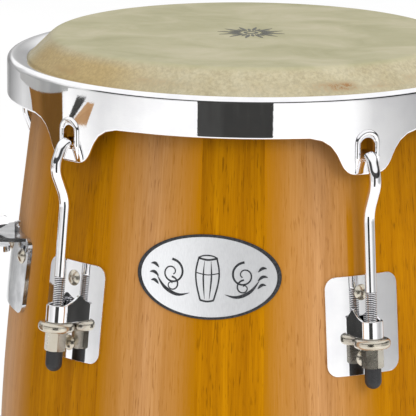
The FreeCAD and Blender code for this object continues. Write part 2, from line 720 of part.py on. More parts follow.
def make_bracket():
    """The stand bracket: curved plate, flat tongue with a bolt hole, and a small eared lug."""
    layer = shell_layer(SEAT_GAP, SEAT_GAP + BRACKET_THICKNESS)
    panel = rounded_panel(BRACKET_WIDTH, below(BRACKET_BOTTOM), below(BRACKET_TOP), BRACKET_CORNER)
    plate = layer.common(panel)
    for side in (-1, 1):
        hole = radial_hole(below(BRACKET_BOLT_DEPTH), BOLT_HOLE_RADIUS)
        hole.rotate(CENTRE, UP, side * BRACKET_BOLT_SPREAD)
        plate = plate.cut(hole)
    tongue_low = below(TONGUE_TOP + TONGUE_THICKNESS)
    plan = [(TONGUE_START - 20.0, TONGUE_ROOT_HALF_WIDTH), (TONGUE_START, TONGUE_ROOT_HALF_WIDTH),
            (TONGUE_END, TONGUE_END_HALF_WIDTH)]
    corners = [FreeCAD.Vector(reach, half, tongue_low) for reach, half in plan]
    corners += [FreeCAD.Vector(reach, -half, tongue_low) for reach, half in reversed(plan)]
    tongue = polygon_face(corners).extrude(FreeCAD.Vector(0, 0, TONGUE_THICKNESS))
    upright = [e for e in tongue.Edges if e.Length < TONGUE_THICKNESS + 0.1]
    corners = [e for e in upright if e.CenterOfMass.x > TONGUE_END - 1.0]
    tongue = tongue.makeFillet(TONGUE_CORNER, corners)
    relief = shell_layer(SEAT_GAP, SEAT_GAP + BRACKET_THICKNESS + RELIEF_WIDTH)
    relief_slab = Part.makeBox(FAR, FAR, RELIEF_DEPTH, FreeCAD.Vector(0, -FAR / 2.0, tongue_low))
    tongue = tongue.cut(relief.common(relief_slab))
    ear_start = TONGUE_START - 10.0
    ear_origin = FreeCAD.Vector(ear_start, -EAR_THICKNESS / 2.0, below(TONGUE_TOP) - 1.0)
    ear = Part.makeBox(EAR_END - ear_start, EAR_THICKNESS, EAR_HEIGHT + 1.0, ear_origin)
    outer_edges = [e for e in ear.Edges if e.CenterOfMass.x > EAR_END - 0.1]
    ear = ear.makeFillet(EAR_ROUNDING, [max(outer_edges, key=lambda e: e.CenterOfMass.z)])
    hole_radius, hole_rise = EAR_HOLE
    hole_start = FreeCAD.Vector(hole_radius, -EAR_THICKNESS, below(TONGUE_TOP) + hole_rise)
    ear_hole = Part.makeCylinder(EAR_HOLE_RADIUS, 2.0 * EAR_THICKNESS, hole_start, FreeCAD.Vector(0, 1, 0))
    arm = tongue.fuse(ear.cut(ear_hole)).cut(shell_layer(-FAR / 4.0, SEAT_GAP + BRACKET_THICKNESS / 2.0))
    arm = max(arm.Solids, key=lambda solid: solid.CenterOfMass.x)
    bolt_hole = Part.makeCylinder(CLAMP_BOLT_RADIUS + FIT_GAP, 20.0,
                                  FreeCAD.Vector(CLAMP_AXIS, 0, tongue_low - 8.0))
    return plate.fuse(arm).cut(bolt_hole).removeSplitter().Solids[0]


def make_clamp_jaw():
    """The lower jaw that grips a stand's arm against the tongue."""
    top = below(TONGUE_TOP + TONGUE_THICKNESS + CLAMP_GAP)
    side = 2.0 * JAW_HALF_WIDTH
    jaw = Part.makeBox(side, side, JAW_THICKNESS,
                       FreeCAD.Vector(CLAMP_AXIS - JAW_HALF_WIDTH, -JAW_HALF_WIDTH, top - JAW_THICKNESS))
    corners = [e for e in jaw.Edges if e.Length < JAW_THICKNESS + 0.1]
    jaw = jaw.makeFillet(JAW_CORNER, corners)
    hole = Part.makeCylinder(CLAMP_BOLT_RADIUS + SEAT_GAP, 20.0, FreeCAD.Vector(CLAMP_AXIS, 0, top - 10.0))
    return jaw.cut(hole).Solids[0]


def make_clamp_bolt():
    """The bolt that hangs the jaw from the wing nut."""
    jaw_low = below(TONGUE_TOP + TONGUE_THICKNESS + CLAMP_GAP) - JAW_THICKNESS
    top = below(TONGUE_TOP) + CLAMP_BOLT_RISE
    seat = FreeCAD.Vector(CLAMP_AXIS, 0, jaw_low - SEAT_GAP)
    shank = Part.makeCylinder(CLAMP_BOLT_RADIUS, top - seat.z, seat)
    head_foot = seat - FreeCAD.Vector(0, 0, CLAMP_HEAD_HEIGHT)
    head = Part.makeCylinder(CLAMP_HEAD_RADIUS, CLAMP_HEAD_HEIGHT, head_foot)
    low_edges = [e for e in head.Edges if e.CenterOfMass.z < head_foot.z + 0.1]
    head = head.makeFillet(CLAMP_HEAD_ROUNDING, low_edges)
    return shank.fuse(head).removeSplitter().Solids[0]


def make_clamp_washer():
    """The flat washer under the wing nut."""
    base = FreeCAD.Vector(CLAMP_AXIS, 0, below(TONGUE_TOP) + SEAT_GAP)
    washer = Part.makeCylinder(CLAMP_WASHER_RADIUS, CLAMP_WASHER_HEIGHT, base)
    return washer.cut(Part.makeCylinder(CLAMP_BOLT_RADIUS + FIT_GAP, CLAMP_WASHER_HEIGHT, base)).Solids[0]


def make_wing_nut():
    """A wing nut: tapered hub and two rising wings."""
    seat = below(TONGUE_TOP) + CLAMP_WASHER_HEIGHT + 2.0 * SEAT_GAP
    nut = Part.makeCone(WING_HUB["low_radius"], WING_HUB["high_radius"], WING_HUB["height"],
                        FreeCAD.Vector(CLAMP_AXIS, 0, seat))
    tip_reach = sum(reach for reach, _ in WING_OUTLINE[2:4]) / 2.0
    tip_rise = sum(rise for _, rise in WING_OUTLINE[2:4]) / 2.0
    for side in (-1, 1):
        points = [FreeCAD.Vector(CLAMP_AXIS + side * reach, 0, seat + rise) for reach, rise in WING_OUTLINE]
        wing = polygon_face(points)
        wing.translate(FreeCAD.Vector(0, -WING_THICKNESS / 2.0, 0))
        blade = wing.extrude(FreeCAD.Vector(0, WING_THICKNESS, 0))
        tip = FreeCAD.Vector(CLAMP_AXIS + side * tip_reach, 0, seat + tip_rise)
        outer = [e for e in blade.Edges if abs(e.Length - WING_THICKNESS) < 0.01]
        outer = sorted(outer, key=lambda e: (e.CenterOfMass - tip).Length)[:2]
        nut = nut.fuse(blade.makeFillet(WING_ROUNDING, outer))
    bore = Part.makeCylinder(CLAMP_BOLT_RADIUS + SEAT_GAP, 40.0, FreeCAD.Vector(CLAMP_AXIS, 0, seat - 5.0))
    return nut.cut(bore).removeSplitter().Solids[0]


def make_shell():
    save("gold_staves", make_staves(GOLD_STAVES))
    save("tan_staves", make_staves(TAN_STAVES))
    save("upper_inner_hoop", [make_hoop(UPPER_HOOP)])
    save("lower_inner_hoop", [make_hoop(LOWER_HOOP)])
    save("foot_ring", [make_foot_ring()])
    save("badge", [placed(make_badge(), BADGE_ANGLE)])


def make_head():
    save("head_skin", [make_head_skin()])
    save("flesh_hoop", [make_flesh_hoop()])
    save("rim", [make_rim()])


def make_tuners():
    rod = make_tuning_rod()
    nut = tilted(make_tuning_nut())
    cap = tilted(make_nut_cap())
    washer = tilted(make_seat_washer())
    plate = make_side_plate()
    for number, angle in enumerate(TUNER_ANGLES, start=1):
        save("tuning_rod_%d" % number, [placed(rod, angle)])
        save("tuning_nut_%d" % number, [placed(nut, angle)])
        save("nut_cap_%d" % number, [placed(cap, angle)])
        save("side_plate_%d" % number, [placed(plate, angle)])
    save("seat_washers", [placed(washer, angle) for angle in TUNER_ANGLES])


def make_plate_fasteners():
    bolts = [make_bolt(below(depth), PLATE_THICKNESS, BACKING_THICKNESS) for depth in PLATE_BOLT_DEPTHS]
    nuts = [make_inner_nut(below(depth)) for depth in PLATE_BOLT_DEPTHS]
    backing = make_backing(PLATE_BOLT_DEPTHS)
    save("plate_bolts", [placed(bolt, angle) for angle in TUNER_ANGLES for bolt in bolts])
    save("plate_nuts", [placed(nut, angle) for angle in TUNER_ANGLES for nut in nuts])
    save("plate_backing_strips", [placed(backing, angle) for angle in TUNER_ANGLES])


def make_stand_bracket():
    bolt = make_bolt(below(BRACKET_BOLT_DEPTH), BRACKET_THICKNESS, BACKING_THICKNESS)
    nut = make_inner_nut(below(BRACKET_BOLT_DEPTH))
    backing = make_backing([BRACKET_BOLT_DEPTH])
    angles = bracket_bolt_angles()
    save("bracket_plate", [placed(make_bracket(), BRACKET_ANGLE)])
    save("bracket_bolts", [placed(bolt, angle) for angle in angles])
    save("bracket_nuts", [placed(nut, angle) for angle in angles])
    save("bracket_backing_strips", [placed(backing, angle) for angle in angles])
    save("clamp_washer", [placed(make_clamp_washer(), BRACKET_ANGLE)])
    save("clamp_jaw", [placed(make_clamp_jaw(), BRACKET_ANGLE)])
    save("clamp_bolt", [placed(make_clamp_bolt(), BRACKET_ANGLE)])
    save("clamp_wing_nut", [placed(make_wing_nut(), BRACKET_ANGLE)])


os.makedirs("parts", exist_ok=True)
make_shell()
make_head()
make_tuners()
make_plate_fasteners()
make_stand_bracket()
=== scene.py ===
import json
import math

import bmesh
import bpy
import numpy as np
from mathutils import Matrix, Vector, noise
from mathutils.bvhtree import BVHTree


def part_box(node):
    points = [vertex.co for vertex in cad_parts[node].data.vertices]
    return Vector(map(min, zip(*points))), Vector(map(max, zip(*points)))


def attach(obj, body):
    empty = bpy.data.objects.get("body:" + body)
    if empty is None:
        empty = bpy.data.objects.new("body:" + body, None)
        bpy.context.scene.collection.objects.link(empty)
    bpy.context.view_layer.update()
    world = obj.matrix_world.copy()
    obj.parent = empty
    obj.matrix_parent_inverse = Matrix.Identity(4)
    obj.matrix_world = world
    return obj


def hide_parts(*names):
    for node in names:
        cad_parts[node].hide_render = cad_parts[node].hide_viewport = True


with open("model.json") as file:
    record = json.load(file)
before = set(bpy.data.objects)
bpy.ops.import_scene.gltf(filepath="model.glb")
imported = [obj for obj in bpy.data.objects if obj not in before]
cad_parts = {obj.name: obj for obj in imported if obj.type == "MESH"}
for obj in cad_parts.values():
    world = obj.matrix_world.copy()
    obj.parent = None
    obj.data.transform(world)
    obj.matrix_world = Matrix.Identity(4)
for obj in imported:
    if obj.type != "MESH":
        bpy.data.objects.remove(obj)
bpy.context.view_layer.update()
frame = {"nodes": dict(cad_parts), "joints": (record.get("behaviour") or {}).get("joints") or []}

# A conga drum seen from above its badge. Metres throughout; angles round the drum start at -Y and
# grow towards +X, as in the CAD source.

HEAD_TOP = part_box("head_skin")[1].z
RIM_LINE = HEAD_TOP - 0.017
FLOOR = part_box("foot_ring")[0].z

# Staves: each quarter of the drum repeats two golden and two tan ones, given as (start, width) in degrees
QUARTER = 90.0
GOLD_STAVES = [(-50.5, 23.5), (-2.7, 15.4)]
TAN_STAVES = [(-27.0, 24.3), (12.7, 26.8)]

# Head
SKIN_THICKNESS = 0.002
SKIN_FLAT_RADIUS = 0.136
SKIN_SHOULDER = 0.0087
SKIN_SEGMENTS = 288
HILL_HEIGHT = 0.00022
HILLS_PER_METRE = 22.0
HILLS_START = 0.03
HILLS_END = 0.138
PUCKER_HEIGHT = 0.0004
PUCKERS_START = 0.141
HEM_RADIUS = 0.1574
HOOP_RADIUS = 0.1626
HOOP_HEIGHT = RIM_LINE - 0.0086
WRAP_OUTER = 0.006
WRAP_INNER = 0.0043
PRINT_LOW = HEAD_TOP + 0.00003
PRINT_HIGH = HEAD_TOP + 0.00016
PRINT_RING = (0.0030, 0.0052)
PRINT_LEAVES = 12

# Rim; the lobe's outline is (distance round the wall from the tuner, depth below the rim line)
WALL_OUTER = 0.1717
WALL_INNER = 0.1691
CREST_RADIUS = 0.1678
BROW_RADIUS = 0.1632
LIP_RADIUS = 0.1584
LIP_ROUND = 0.0010
ROLL_CENTRE_RISE = -0.0015
LOBE_OUTLINE = [
    (0.0, 0.0520), (0.0080, 0.0519), (0.0112, 0.0513), (0.0142, 0.0497), (0.0168, 0.0470),
    (0.0186, 0.0440), (0.0200, 0.0410), (0.0222, 0.0368), (0.0262, 0.0316), (0.0325, 0.0276),
    (0.0410, 0.0256), (0.0500, 0.0255),
]
EYE_HALF_WIDTH = 0.0055
EYE_TOP = 0.0267
EYE_BOTTOM = 0.0431
EYE_CORNER = 0.0015
EYE_CUT_RADII = (0.150, 0.190)
BEAD_HALF_WIDTH = 0.0073
BEAD_TOP = 0.0232
BEAD_SPLAY_DEPTH = 0.041
BEAD_BOTTOM = 0.0490
BEAD_SPLAY = 1.12
BEAD_RADIUS = 0.0019
BEAD_STEP = 0.0007

# Tuning rods: corners of the centre line as (radius, depth below the rim line), and bend radii
ROD_RADIUS = 0.004
HOOK_CORNERS = [(0.1638, 0.0470), (0.1638, 0.0387), (0.1772, 0.0387), (0.1846, 0.0545), (0.1749, 0.0770)]
HOOK_RADII = [0.005, 0.006, 0.016, 0.026]
ROD_LEAN = math.radians(5.6)
ROD_END_DEPTH = 0.1905
ROD_STEP = 0.0009
ROD_SIDES = 28
ROD_TIP_RINGS = 5
THREAD_START_DEPTH = 0.1300
THREAD_PITCH = 0.00125
THREAD_DEPTH = 0.00060
THREAD_OUTER = ROD_RADIUS - 0.00005
THREAD_STEPS = 6
GROOVE_SHARE = 0.5

# Side plates and straps
PLATE_WIDTH = 0.055
PLATE_SHIFT = 0.0008
PLATE_TOP = 0.1218
PLATE_BOTTOM = 0.1888
PLATE_CORNER = 0.008
PLATE_THICKNESS = 0.0017
PLATE_BEVEL = 0.0006
NUT_SEAT_DEPTH = 0.1613
STRAP_OUTER = 0.0077
STRAP_THICKNESS = 0.0019
STRAP_BACK = 0.020
STRAP_HEIGHT = 0.012
STRAP_PEAK = 0.019
STRAP_RISE_START = 0.001
STRAP_RISE_RUN = 0.0135
STRAP_BEVEL = 0.0005

# Pieces that lie on the shell start this far off it
CONTACT_GAP = 0.00005

# Badge
BADGE_ANGLE = -0.45
BADGE_DEPTH = 0.1208
BADGE_HALF_WIDTH = 0.0495
BADGE_HALF_HEIGHT = 0.02825
BADGE_BORDER = 0.0022
BADGE_THICKNESS = 0.00145
BADGE_SIDES = 128
BORDER_SIDES = 160
STROKE_SINK = 0.00018
STROKE_THICKNESS = 0.00022
STROKE_STEP = 0.0005
LEAF_TIP = 0.0002
SCROLL_ACROSS = 0.0245
LEAVES_ACROSS = 0.0338

# What shiny metal mirrors: grey levels round the room, by angle, and the heights of a dark line
ROOM_RADIUS = 2.6
ROOM_TOP = 2.1
ROOM_FOOT = 0.001
ROOM_SIDES = 96
ROOM_GREYS = [(-180.0, 0.34), (-160.0, 0.40), (-146.0, 0.22), (-122.0, 0.55), (-100.0, 0.40), (-84.0, 0.80),
              (-62.0, 0.60), (-40.0, 0.74), (-18.0, 0.88), (30.0, 0.95), (52.0, 0.88), (66.0, 0.52),
              (95.0, 0.34), (130.0, 0.46), (180.0, 0.34)]
LINE_LOW = 0.95
LINE_HIGH = 1.85

# Cards that the rim's wall mirrors: name, tone and distance from the wall, then the card's foot and top,
# each as (height, first and last angle of the wall that shows it)
CARDS = [
    ("front_card", "dark", 1.35, (0.12, -2.65, 14.05), (1.05, -2.65, 14.05)),
    ("side_card", "brown", 0.40, (0.600, -46.5, -38.0), (0.665, -52.8, -38.4)),
    ("upper_card", "grey", 0.40, (0.667, -58.0, -36.5), (0.78, -63.0, -31.0)),
    ("plate_card", "brown", 0.40, (0.30, -53.7, -35.8), (0.56, -53.7, -35.8)),
    ("eye_card", "tan", 0.40, (0.641, -35.6, -30.6), (0.660, -30.4, -28.2)),
    ("eye_edge_card", "dark", 0.40, (0.641, -36.9, -35.7), (0.664, -33.4, -30.5)),
]

# The flag at the drum's left, as a plane X and its reach in Y and Z, and the light
FLAG_X = -0.62
FLAG_Y = (0.02, 0.75)
FLAG_Z = (0.42, 1.0)
FLOOR_REACH = 60.0
KEY_PLACE = (1.7, -2.4, 1.9)
KEY_SIZE = 1.4
KEY_POWER = 42.0
KEY_COLOUR = (1.0, 0.99, 0.97)
AIR_STRENGTH = 1.08

# Camera, from the drum's frame
CAMERA_PLACE = (0.3529, -2.2437, RIM_LINE + 0.3974)
CAMERA_HEADING = 9.673
CAMERA_PITCH = 12.592
CAMERA_ROLL = 0.549
CAMERA_LENS = 282.3
SENSOR_WIDTH = 36.0


# ---------------- geometry helpers

def clamped(share):
    """A share held between 0 and 1."""
    return min(1.0, max(0.0, share))


def direction(angle):
    """The outward direction at an angle in degrees round the drum."""
    a = math.radians(angle)
    return Vector((math.sin(a), -math.cos(a), 0.0))


def turn_to(angle):
    """The matrix that turns a piece made with +X outwards to its angle round the drum."""
    return Matrix.Rotation(math.radians(angle - 90.0), 4, "Z")


def arc(centre, radius, start, end, count):
    """Pairs of coordinates on a circle, between two angles in degrees."""
    turns = [math.radians(start + (end - start) * i / count) for i in range(count + 1)]
    return [(centre[0] + radius * math.cos(a), centre[1] + radius * math.sin(a)) for a in turns]


def upright(pairs):
    """Section points from (radius, height) pairs."""
    return [Vector((radius, 0.0, height)) for radius, height in pairs]


def put_in_scene(name, data):
    """A new object in the scene."""
    made = bpy.data.objects.new(name, data)
    bpy.context.scene.collection.objects.link(made)
    return made


def add_piece(name, part, material, body, sharp=None):
    """A (points, faces) pair as a smooth-shaded piece on a body, crisp at edges over `sharp` degrees."""
    points, faces = part
    mesh = bpy.data.meshes.new(name)
    mesh.from_pydata([tuple(p) for p in points], [], faces)
    work = bmesh.new()
    work.from_mesh(mesh)
    bmesh.ops.remove_doubles(work, verts=work.verts, dist=1e-6)
    bmesh.ops.recalc_face_normals(work, faces=work.faces)
    work.to_mesh(mesh)
    work.free()
    mesh.polygons.foreach_set("use_smooth", [True] * len(mesh.polygons))
    if sharp:
        mesh.set_sharp_from_angle(angle=math.radians(sharp))
    mesh.materials.append(material)
    piece = put_in_scene(name, mesh)
    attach(piece, body)
    return piece


def grid_faces(rows, columns, close_rows=False, close_columns=False):
    """Quads over a grid of points stored row by row."""
    faces = []
    for i in range(rows if close_rows else rows - 1):
        for j in range(columns if close_columns else columns - 1):
            i2 = (i + 1) % rows
            j2 = (j + 1) % columns
            faces.append((i * columns + j, i * columns + j2, i2 * columns + j2, i2 * columns + j))
    return faces


def loft_faces(rings, count):
    """Faces of a solid made of rings with the same number of points, closed by its first and last ring."""
    faces = grid_faces(rings, count, close_columns=True)
    faces.append(tuple(range(count - 1, -1, -1)))
    faces.append(tuple(range((rings - 1) * count, rings * count)))
    return faces


def sheet_faces(rows, columns):
    """Faces of a thick sheet: two grids of points, one after the other, joined round their edge."""
    side = rows * columns
    faces = grid_faces(rows, columns)
    faces += [tuple(side + k for k in reversed(face)) for face in faces]
    edge = list(range(columns))
    edge += [i * columns + columns - 1 for i in range(1, rows)]
    edge += [(rows - 1) * columns + j for j in range(columns - 2, -1, -1)]
    edge += [i * columns for i in range(rows - 2, 0, -1)]
    for a, b in zip(edge, edge[1:] + edge[:1]):
        faces.append((a, b, side + b, side + a))
    return faces


def corner_cut(points, rounds):
    """Round a polyline's corners by cutting them again and again; the ends stay."""
    points = [Vector(p) for p in points]
    for _ in range(rounds):
        cut = []
        for a, b in zip(points, points[1:]):
            cut += [a.lerp(b, 0.25), a.lerp(b, 0.75)]
        points = [points[0]] + cut[1:-1] + [points[-1]]
    return points


def rounded_path(corners, radii, step):
    """Points along straight runs joined by tangent arcs."""
    points = [corners[0].copy()]
    for index, radius in enumerate(radii):
        corner = corners[index + 1]
        back = (corners[index] - corner).normalized()
        ahead = (corners[index + 2] - corner).normalized()
        half_turn = (math.pi - back.angle(ahead)) / 2.0
        reach = radius * math.tan(half_turn)
        inward = (back + ahead).normalized()
        centre = corner + inward * (radius / math.cos(half_turn))
        start = corner + back * reach - centre
        axis = start.cross(corner + ahead * reach - centre).normalized()
        count = max(4, int(2.0 * half_turn * radius / step))
        for i in range(count + 1):
            points.append(centre + Matrix.Rotation(2.0 * half_turn * i / count, 3, axis) @ start)
    points.append(corners[-1].copy())
    return points


def spaced(points, step):
    """The same line with points at an even step."""
    lengths = [0.0]
    for a, b in zip(points, points[1:]):
        lengths.append(lengths[-1] + (b - a).length)
    count = max(2, int(lengths[-1] / step))
    places = np.linspace(0.0, lengths[-1], count + 1)
    table = np.array([tuple(p) for p in points])
    return [Vector([np.interp(s, lengths, table[:, k]) for k in range(3)]) for s in places]


def tangent_at(points, index):
    """The direction of a line at one of its points."""
    return (points[min(index + 1, len(points) - 1)] - points[max(index - 1, 0)]).normalized()


def tube(points, radius_at, sides, flat_normal):
    """A tube along a line in one plane. radius_at(share, index, turn) may vary along and round it."""
    rings = []
    count = len(points)
    for i, p in enumerate(points):
        tangent = tangent_at(points, i)
        side = tangent.cross(flat_normal).normalized()
        across = side.cross(tangent).normalized()
        for j in range(sides):
            a = 2.0 * math.pi * j / sides
            radius = radius_at(i / (count - 1), i, a)
            rings.append(p + side * (radius * math.cos(a)) + across * (radius * math.sin(a)))
    return rings, loft_faces(count, sides)


def join_parts(parts):
    """Several (points, faces) pairs as one."""
    points, faces = [], []
    for part_points, part_faces in parts:
        base = len(points)
        points += part_points
        faces += [tuple(base + k for k in face) for face in part_faces]
    return points, faces


def moved(part, matrix):
    """A (points, faces) pair with its points moved by a matrix."""
    points, faces = part
    return [matrix @ Vector(p) for p in points], faces


def search_tree(name):
    """A CAD node's mesh, ready to be met by rays."""
    mesh = frame["nodes"][name].data
    return BVHTree.FromPolygons([v.co for v in mesh.vertices], [tuple(p.vertices) for p in mesh.polygons])


def shell_curve():
    """The shell's outer radius as a smooth function of height, read from the CAD staves."""
    trees = [search_tree(name) for name in ("gold_staves", "tan_staves")]
    clear = 0.4
    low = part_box("tan_staves")[0].z + 0.002
    heights = np.linspace(low, RIM_LINE + 0.005, 75)
    radii = []
    for z in heights:
        best = 0.0
        for angle in range(0, 360, 9):
            out = direction(angle + 0.5)
            for tree in trees:
                hit = tree.ray_cast(Vector((0, 0, z)) + out * clear, -out)
                if hit[0] is not None:
                    best = max(best, hit[0].xy.length)
        radii.append(best)
    fit = np.polynomial.Polynomial.fit(heights, radii, 8)
    return lambda z: float(fit(z))


shell_radius = shell_curve()


# ---------------- materials

def srgb(red, green, blue):
    """A colour given as it looks on a screen, 0 to 255, as linear values."""
    def linear(c):
        c /= 255.0
        return c / 12.92 if c <= 0.04045 else ((c + 0.055) / 1.055) ** 2.4
    return (linear(red), linear(green), linear(blue), 1.0)


def grey_colour(level):
    """A linear grey."""
    return (level, level, level, 1.0)


class Signal:
    """A number, vector or colour that a shader node gives out, with arithmetic."""

    def __init__(self, shader, socket):
        self.shader = shader
        self.socket = socket

    def __add__(self, other):
        return self.shader.math("ADD", self, other)

    def __sub__(self, other):
        return self.shader.math("SUBTRACT", self, other)

    def __rsub__(self, other):
        return self.shader.math("SUBTRACT", other, self)

    def __mul__(self, other):
        return self.shader.math("MULTIPLY", self, other)

    def span(self, low, high, to_low=0.0, to_high=1.0, curve="SMOOTHSTEP"):
        """A number that goes from to_low to to_high while this one goes from low to high."""
        return self.shader.result("MapRange", self, low, high, to_low, to_high, interpolation_type=curve)

    def window(self, rise, fall):
        """1 between a rise and a fall, each given as (start, end), and 0 outside them."""
        return self.span(*rise) * self.span(*fall, 1.0, 0.0)

    def ramp(self, *stops):
        """A colour that goes through (position, colour) stops."""
        made = self.shader.node("ValToRGB", self)
        elements = made.color_ramp.elements
        while len(elements) < len(stops):
            elements.new(0.5)
        for element, (place, colour) in zip(elements, stops):
            element.position = place
            element.color = colour
        return Signal(self.shader, made.outputs[0])

    def noise(self, stretch, detail=4.0, roughness=0.55, distortion=0.0):
        """Noise over this vector multiplied by one number, or by one for each axis."""
        scale = stretch if isinstance(stretch, tuple) else (stretch,) * 3
        stretched = self.shader.result("VectorMath", self, scale, operation="MULTIPLY")
        made = self.shader.node("TexNoise", stretched)
        values = {"Scale": 1.0, "Detail": detail, "Roughness": roughness, "Distortion": distortion}
        for socket, value in values.items():
            made.inputs[socket].default_value = value
        return Signal(self.shader, made.outputs["Fac"])

    def mix(self, share, second, blend="MIX"):
        """This colour with a share of a second one."""
        made = self.shader.node("Mix", data_type="RGBA", blend_type=blend)
        for index, value in ((0, share), (6, self), (7, second)):
            self.shader.wire(value, made.inputs[index])
        return Signal(self.shader, made.outputs[2])

    def dimmed(self, level):
        """This colour multiplied by a number."""
        return self.mix(1.0, self.shader.result("CombineColor", level, level, level), "MULTIPLY")


class Shader:
    """A material and the means to build it from nodes."""

    def __init__(self, name, **sockets):
        self.material = bpy.data.materials.new(name)
        self.material.use_nodes = True
        self.tree = self.material.node_tree
        self.surface = self.tree.nodes["Principled BSDF"]
        for socket, value in sockets.items():
            self.surface.inputs[socket.replace("_", " ")].default_value = value
        self.place = Signal(self, self.node("TexCoord").outputs["Object"])

    def wire(self, value, socket):
        """Feed a socket from a signal, or set it to a constant."""
        if isinstance(value, Signal):
            self.tree.links.new(value.socket, socket)
        else:
            socket.default_value = value

    def node(self, kind, *values, **settings):
        """A new node with its settings, its first inputs fed from the values."""
        made = self.tree.nodes.new("ShaderNode" + kind)
        for key, value in settings.items():
            setattr(made, key, value)
        for socket, value in zip(made.inputs, values):
            self.wire(value, socket)
        return made

    def result(self, kind, *values, **settings):
        """The first thing that a new node gives out."""
        return Signal(self, self.node(kind, *values, **settings).outputs[0])

    def math(self, operation, *values):
        """One step of arithmetic."""
        return self.result("Math", *values, operation=operation)

    def round_axis(self):
        """The angle round the drum in degrees, the distance from its axis, and the height."""
        x, y, z = [Signal(self, output) for output in self.node("SeparateXYZ", self.place).outputs]
        angle = self.math("DEGREES", self.math("ARCTAN2", x, y * -1.0))
        return angle, self.math("SQRT", x * x + y * y), z

    def finish(self, colour, pattern=None, low=0.0, high=1.0):
        """The material, with its colour set and its roughness following a pattern if one is given."""
        self.wire(colour, self.surface.inputs["Base Color"])
        if pattern:
            self.wire(pattern.span(0.3, 0.7, low, high), self.surface.inputs["Roughness"])
        return self.material

    def bump(self, height, strength, distance):
        """Small relief."""
        made = self.node("Bump")
        made.inputs["Strength"].default_value = strength
        made.inputs["Distance"].default_value = distance
        self.wire(height, made.inputs["Height"])
        self.tree.links.new(made.outputs[0], self.surface.inputs["Normal"])


def stave_places(shader, angle, staves):
    """A number for each stave, and the distance in from its nearer edge in degrees."""
    lead = 1.0
    (first, first_width), (second, second_width) = staves
    turned = shader.math("DIVIDE", angle - (first - lead), QUARTER)
    within = shader.math("FRACT", turned) * QUARTER - lead
    is_second = shader.math("GREATER_THAN", within, second - first - lead)
    number = shader.math("FLOOR", turned) * 2.0 + is_second
    width = is_second * (second_width - first_width) + first_width
    from_start = within - is_second * (second - first)
    return number, shader.math("MINIMUM", from_start, width - from_start)


def wood_material(name, staves, dark, middle, light, streak, stain=None):
    """Lacquered staves: fine grain along the stave, pores, a slightly different tone on each, and painted
    shade that darkens them towards the rim.
    """
    shader = Shader(name, Specular_IOR_Level=0.03, Coat_Weight=0.035, Coat_Roughness=0.08)
    angle, radius, z = shader.round_axis()
    number, inward = stave_places(shader, angle, staves)
    chance = shader.node("TexWhiteNoise", noise_dimensions="1D")
    shader.wire(number + 0.5, chance.inputs["W"])
    tone = Signal(shader, chance.outputs["Value"])
    girth = angle * 0.003
    along = z + tone * 7.0
    wander = shader.result("CombineXYZ", girth, along, 0.0).noise((30.0, 4.0, 0.0), detail=2.0)
    grain = shader.result("CombineXYZ", girth + wander * 0.006, along, radius)
    bands = grain.noise((110.0, 2.2, 40.0), detail=3.0)
    fibres = grain.noise((900.0, 14.0, 200.0), roughness=0.65)
    specks = grain.noise((1000.0, 75.0, 300.0), detail=2.0, roughness=0.5).span(0.58, 0.72)
    colour = (bands * 0.55 + fibres * 0.45).ramp((0.36, dark), (0.5, middle), (0.66, light))
    colour = colour.mix(specks * 0.6, streak)
    # Painted shade: the staves grow darker towards the rim, as if in the rim's shadow.
    painted_rim_shade = z.span(RIM_LINE - 0.13, RIM_LINE - 0.02, 1.0, 0.74)
    colour = colour.dimmed(tone.span(0.0, 1.0, 0.95, 1.05) * painted_rim_shade)
    if stain:
        colour = edge_stain(colour, stain, angle, z, inward, fibres)
    shader.bump(fibres + specks * -0.6, 0.10, 0.00010)
    return shader.finish(colour, fibres, 0.30, 0.44)


def edge_stain(colour, stain, angle, z, inward, fibres):
    """Golden stain that has crept in from a stave's edges, and one sliver of it."""
    ragged = inward + (fibres - 0.5) * 3.0
    colour = colour.mix(ragged.span(0.3, 12.5, 1.0, 0.0, curve="LINEAR"), stain)
    across = angle.window((32.6, 33.3), (34.3, 35.0))
    upwards = z.window((RIM_LINE - 0.145, RIM_LINE - 0.125), (RIM_LINE - 0.090, RIM_LINE - 0.060))
    return colour.mix(across * upwards * 0.9, stain)


def metal_material(name, tint, shade, low, high, scale=60.0, smudge=0.00002):
    """Plated metal: bright, with faint smudges in its tint and polish."""
    shader = Shader(name, Metallic=1.0)
    patches = shader.place.noise(scale, detail=3.0)
    shader.bump(shader.place.noise(scale * 14.0, detail=2.0), 0.12, smudge)
    return shader.finish(patches.ramp((0.35, shade), (0.65, tint)), patches, low, high)


def brushed_material(name, dark, light, high):
    """Lacquered sheet metal, brushed along the drum's height, with a painted sheen that makes it paler to
    the left and darker to the right.
    """
    shader = Shader(name, Metallic=0.35)
    lines = shader.place.noise((2600.0, 2600.0, 12.0), detail=2.0)
    x = shader.result("SeparateXYZ", shader.place)
    # Painted sheen: the colour is multiplied from 1.16 at the badge's left edge down to 0.70 at its right
    # edge.
    across = x.span(-BADGE_HALF_WIDTH, BADGE_HALF_WIDTH, 1.16, 0.70)
    shader.bump(lines, 0.05, 0.00002)
    return shader.finish(lines.ramp((0.3, dark), (0.7, light)).dimmed(across), lines, 0.35, high)


def rubber_material(name, dark, light, scale):
    """Grainy rubber."""
    shader = Shader(name, Specular_IOR_Level=0.35)
    grains = shader.place.noise(scale, detail=5.0)
    shader.bump(grains, 0.3, 0.00012)
    return shader.finish(grains.ramp((0.35, dark), (0.7, light)), grains, 0.42, 0.62)


def groove_material():
    """The bottom of a thread, dark metal as painted shade in the groove."""
    shader = Shader("thread_groove", Metallic=1.0)
    # Painted shade: the groove faces are dark grey metal.
    groove_shade = shader.place.noise(900.0, detail=3.0)
    return shader.finish(groove_shade.ramp((0.35, srgb(60, 60, 62)), (0.7, srgb(110, 110, 112))), groove_shade, 0.35, 0.5)


